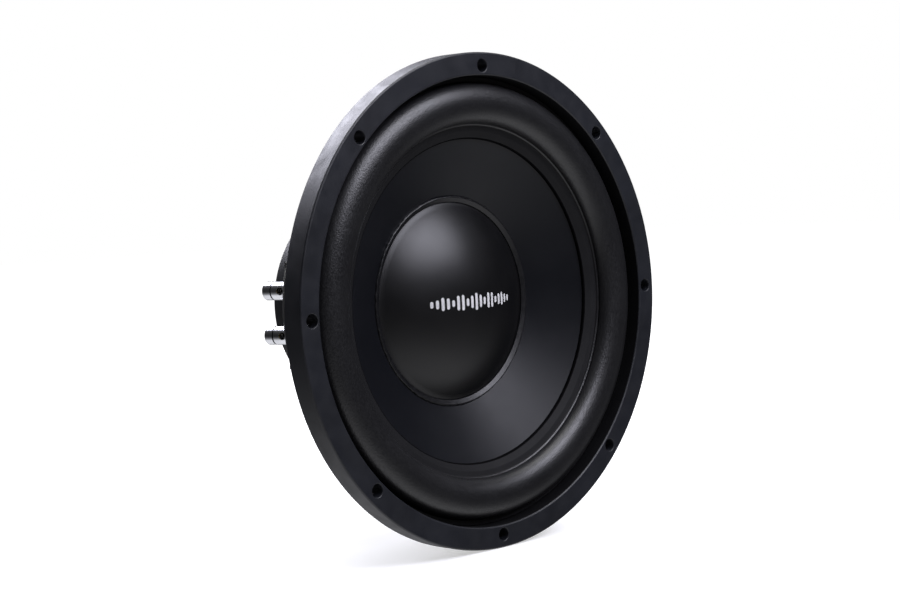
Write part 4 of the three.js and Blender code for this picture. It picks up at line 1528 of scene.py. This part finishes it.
def twisted(path, strands, radius, pitch):
    """Strands that are twisted into a round lead along a path."""
    strand_radius = radius / LEAD_TO_STRAND
    reach = radius - strand_radius
    shapes = []
    for number in range(strands):
        travelled = 0.0
        line = []
        for i, (centre, across, over) in enumerate(walk(path)):
            angle = number * FULL_TURN / strands + travelled / pitch * FULL_TURN
            line.append(centre + (across * math.cos(angle) + over * math.sin(angle)) * reach)
            if i + 1 < len(path):
                travelled += (path[i + 1] - centre).length
        shapes.append(wire(line, strand_radius, 6))
    return joined(shapes)


def blob(centre, sizes, seed):
    """A lump of solder or glue, rounded and a little uneven."""
    points, faces = turned(arc(0, 0, 1, -90, 90, 14), 24)
    moved = []
    for p in points:
        swell = 1 + 0.16 * noise.noise(p * 1.4 + Vector((seed, seed, seed)))
        moved.append(Vector(centre) + Vector((p.x * sizes[0], p.y * sizes[1], p.z * sizes[2])) * swell)
    return moved, faces


def tinsel_lead(label, side, look, solder, glue_look):
    """A lead from its solder tab to the back of the cone, with solder at one end, glue at the other."""
    route = [Vector((x, y, side * z)) for x, y, z in LEAD_ROUTE]
    path = curve_points(route, 30)
    obj = build(f"{label}_lead_strands", twisted(path, LEAD_STRANDS, LEAD_RADIUS, LEAD_PITCH))
    dress(obj, look, "tinsel_braid", None, f"{label}_tinsel_lead")
    fixed = route[1].x
    moving = route[-2].x
    stretch(obj,
            lambda p: smooth_step((p.x - fixed) / (moving - fixed)))
    solder_lump = blob(route[0] + Vector((0.2, -0.2, 0)), (1.7, 1.3, 1.9), 3.1 * side)
    detail(build(f"{label}_lead_solder", solder_lump), solder, "tinned_brass", "frame")
    glue_lump = blob(route[-1] + Vector((0.4, -0.1, 0)), (2.6, 1.5, 2.4), 5.7 * side)
    detail(build(f"{label}_lead_glue", glue_lump), glue_look, "glue", "moving_assembly")


# ---- stage, light and camera ----------------------------------------------------------------------

def view_axes():
    """The camera's right, up and back directions."""
    back = Vector((
        math.sin(VIEW_AZIMUTH) * math.cos(VIEW_ELEVATION),
        -math.cos(VIEW_AZIMUTH) * math.cos(VIEW_ELEVATION),
        math.sin(VIEW_ELEVATION),
    ))
    level = Vector((math.cos(VIEW_AZIMUTH), math.sin(VIEW_AZIMUTH), 0))
    raised = back.cross(level)
    right = level * math.cos(VIEW_ROLL) + raised * math.sin(VIEW_ROLL)
    up = raised * math.cos(VIEW_ROLL) - level * math.sin(VIEW_ROLL)
    return right, up, back


def place_camera():
    right, up, back = view_axes()
    rim_centre = Vector((0, Ring("gasket_ring").front, 0))
    place = (rim_centre + right * VIEW_ASIDE + up * VIEW_RAISE + back * VIEW_DISTANCE) * MM
    data = bpy.data.cameras.new("camera")
    data.lens = VIEW_LENS
    data.sensor_width = VIEW_SENSOR
    data.clip_start = 0.05
    data.clip_end = 50
    camera = bpy.data.objects.new("camera", data)
    camera.matrix_world = Matrix((
        (right.x, up.x, back.x, place.x),
        (right.y, up.y, back.y, place.y),
        (right.z, up.z, back.z, place.z),
        (0, 0, 0, 1),
    ))
    bpy.context.scene.collection.objects.link(camera)
    bpy.context.scene.camera = camera


def soft_light(name, direction, distance, width, height, power, colour=(1, 1, 1)):
    """A softbox in a direction from the driver, turned to face it."""
    data = bpy.data.lights.new(name, "AREA")
    data.shape = "RECTANGLE"
    data.size = width
    data.size_y = height
    data.energy = power
    data.color = colour
    light = bpy.data.objects.new(name, data)
    light.location = Vector(direction).normalized() * distance
    light.rotation_euler = Vector(direction).to_track_quat("Z", "Y").to_euler()
    bpy.context.scene.collection.objects.link(light)


def studio_world():
    """White to the camera. For the light it is a room, bright below and dim round the horizon."""
    world = bpy.data.worlds.new("studio")
    world.use_nodes = True
    tree = world.node_tree
    tree.nodes.clear()
    place = add_node(tree, "ShaderNodeTexCoord").outputs["Generated"]
    upward = add_node(tree, "ShaderNodeSeparateXYZ", {0: place}).outputs["Z"]
    height = add_node(tree, "ShaderNodeMapRange", {"Value": upward, "From Min": -1}).outputs["Result"]
    ramp = add_node(tree, "ShaderNodeValToRGB", {"Fac": height})
    steps = ramp.color_ramp.elements
    while len(steps) < len(ROOM_LIGHT):
        steps.new(0.5)
    for step, (position, light) in zip(steps, ROOM_LIGHT):
        step.position = position
        step.color = (light, light, light * 1.04, 1)
    room = add_node(tree, "ShaderNodeBackground", {"Color": ramp.outputs["Color"]}).outputs[0]
    paper = add_node(tree, "ShaderNodeBackground", {"Color": (1, 1, 1, 1)}).outputs[0]
    seen = add_node(tree, "ShaderNodeLightPath").outputs["Is Camera Ray"]
    mixed = add_node(tree, "ShaderNodeMixShader", {"Fac": seen, 1: room, 2: paper}).outputs[0]
    add_node(tree, "ShaderNodeOutputWorld", {"Surface": mixed})
    bpy.context.scene.world = world


def floor():
    """A pale floor under the rim's lowest point."""
    low = -Ring("gasket_ring").outer
    quarters = ((-1, -1), (1, -1), (1, 1), (-1, 1))
    corners = [Vector((x * FLOOR_REACH, y * FLOOR_REACH, low)) for x, y in quarters]
    obj = build("floor", (corners, [[0, 1, 2, 3]]))
    look = Look("floor_paper", (0.6, 0.6, 0.6), 0.9, Specular_IOR_Level=0.0)
    look.colours(look.noise(300, 2.0), (0.59, 0.59, 0.59), (0.61, 0.61, 0.61))
    look.set("Emission Color", (1, 1, 1, 1))
    away = look.node("ShaderNodeVectorMath", {"Vector": look.place}, operation="LENGTH").outputs["Value"]
    glow = look.spread(away, FLOOR_GLOW_NEAR, FLOOR_GLOW_FAR, FLOOR_NEAR, FLOOR_FAR)
    look.tree.links.new(glow, look.shader.inputs["Emission Strength"])
    obj.data.materials.append(look.material)
    # the room's lower half gives the light from below
    obj.visible_diffuse = False
    obj.visible_glossy = False
    obj.visible_shadow = False
    obj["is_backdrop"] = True


def studio():
    """The plain studio: floor, room and four softboxes."""
    floor()
    studio_world()
    soft_light("key", (0.17, -0.71, 0.69), 1.5, 1.2, 0.8, 21, COOL_WHITE)
    soft_light("overhead", (0.12, 0.05, 1.0), 1.5, 1.4, 1.2, 20)
    soft_light("back", (0.0, 0.72, 0.66), 1.6, 1.2, 0.6, 26, COOL_WHITE)
    soft_light("low back", (0.2, 0.95, 0.22), 1.6, 0.6, 0.3, 4)
    bpy.context.scene.view_settings.view_transform = "Standard"


# ---- the driver -----------------------------------------------------------------------------------

def driver():
    gasket_ring()
    basket()
    surround()
    cone()
    dust_cap()
    cap_mark()
    cap_glue_bead()
    former_glue()
    former()
    winding()
    spider()
    top_plate()
    magnet()
    t_yoke()
    magnet_boot()
    motor_rivets()
    terminal_panel()
    looks = {
        "plastic": black_plastic(),
        "brass": metal("contact_brass", (0.72, 0.55, 0.25), 0.18, 0.32, 0.008),
        "chrome": metal("chrome", (0.76, 0.77, 0.8), 0.12, 0.19, 0.002),
        "steel": metal("nut_steel", (0.58, 0.59, 0.6), 0.22, 0.38, 0.01),
        "tinned": metal("tinned_brass", (0.7, 0.68, 0.62), 0.25, 0.42, 0.02),
        "spring": metal("spring_steel", (0.6, 0.6, 0.61), 0.15, 0.28, 0.005),
    }
    panel_rivets(looks["steel"])
    braid = tinsel_braid()
    lead_glue = glue("lead_glue_gloss")
    for label, side in (("upper", 1), ("lower", -1)):
        terminal(label, side, looks)
        tinsel_lead(label, side, braid, looks["tinned"], lead_glue)


place_camera()
driver()
studio()

boxes = {"cad": CAD_BOX, "visual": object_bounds()}
{name: [list(corner) for corner in box] for name, box in boxes.items()}
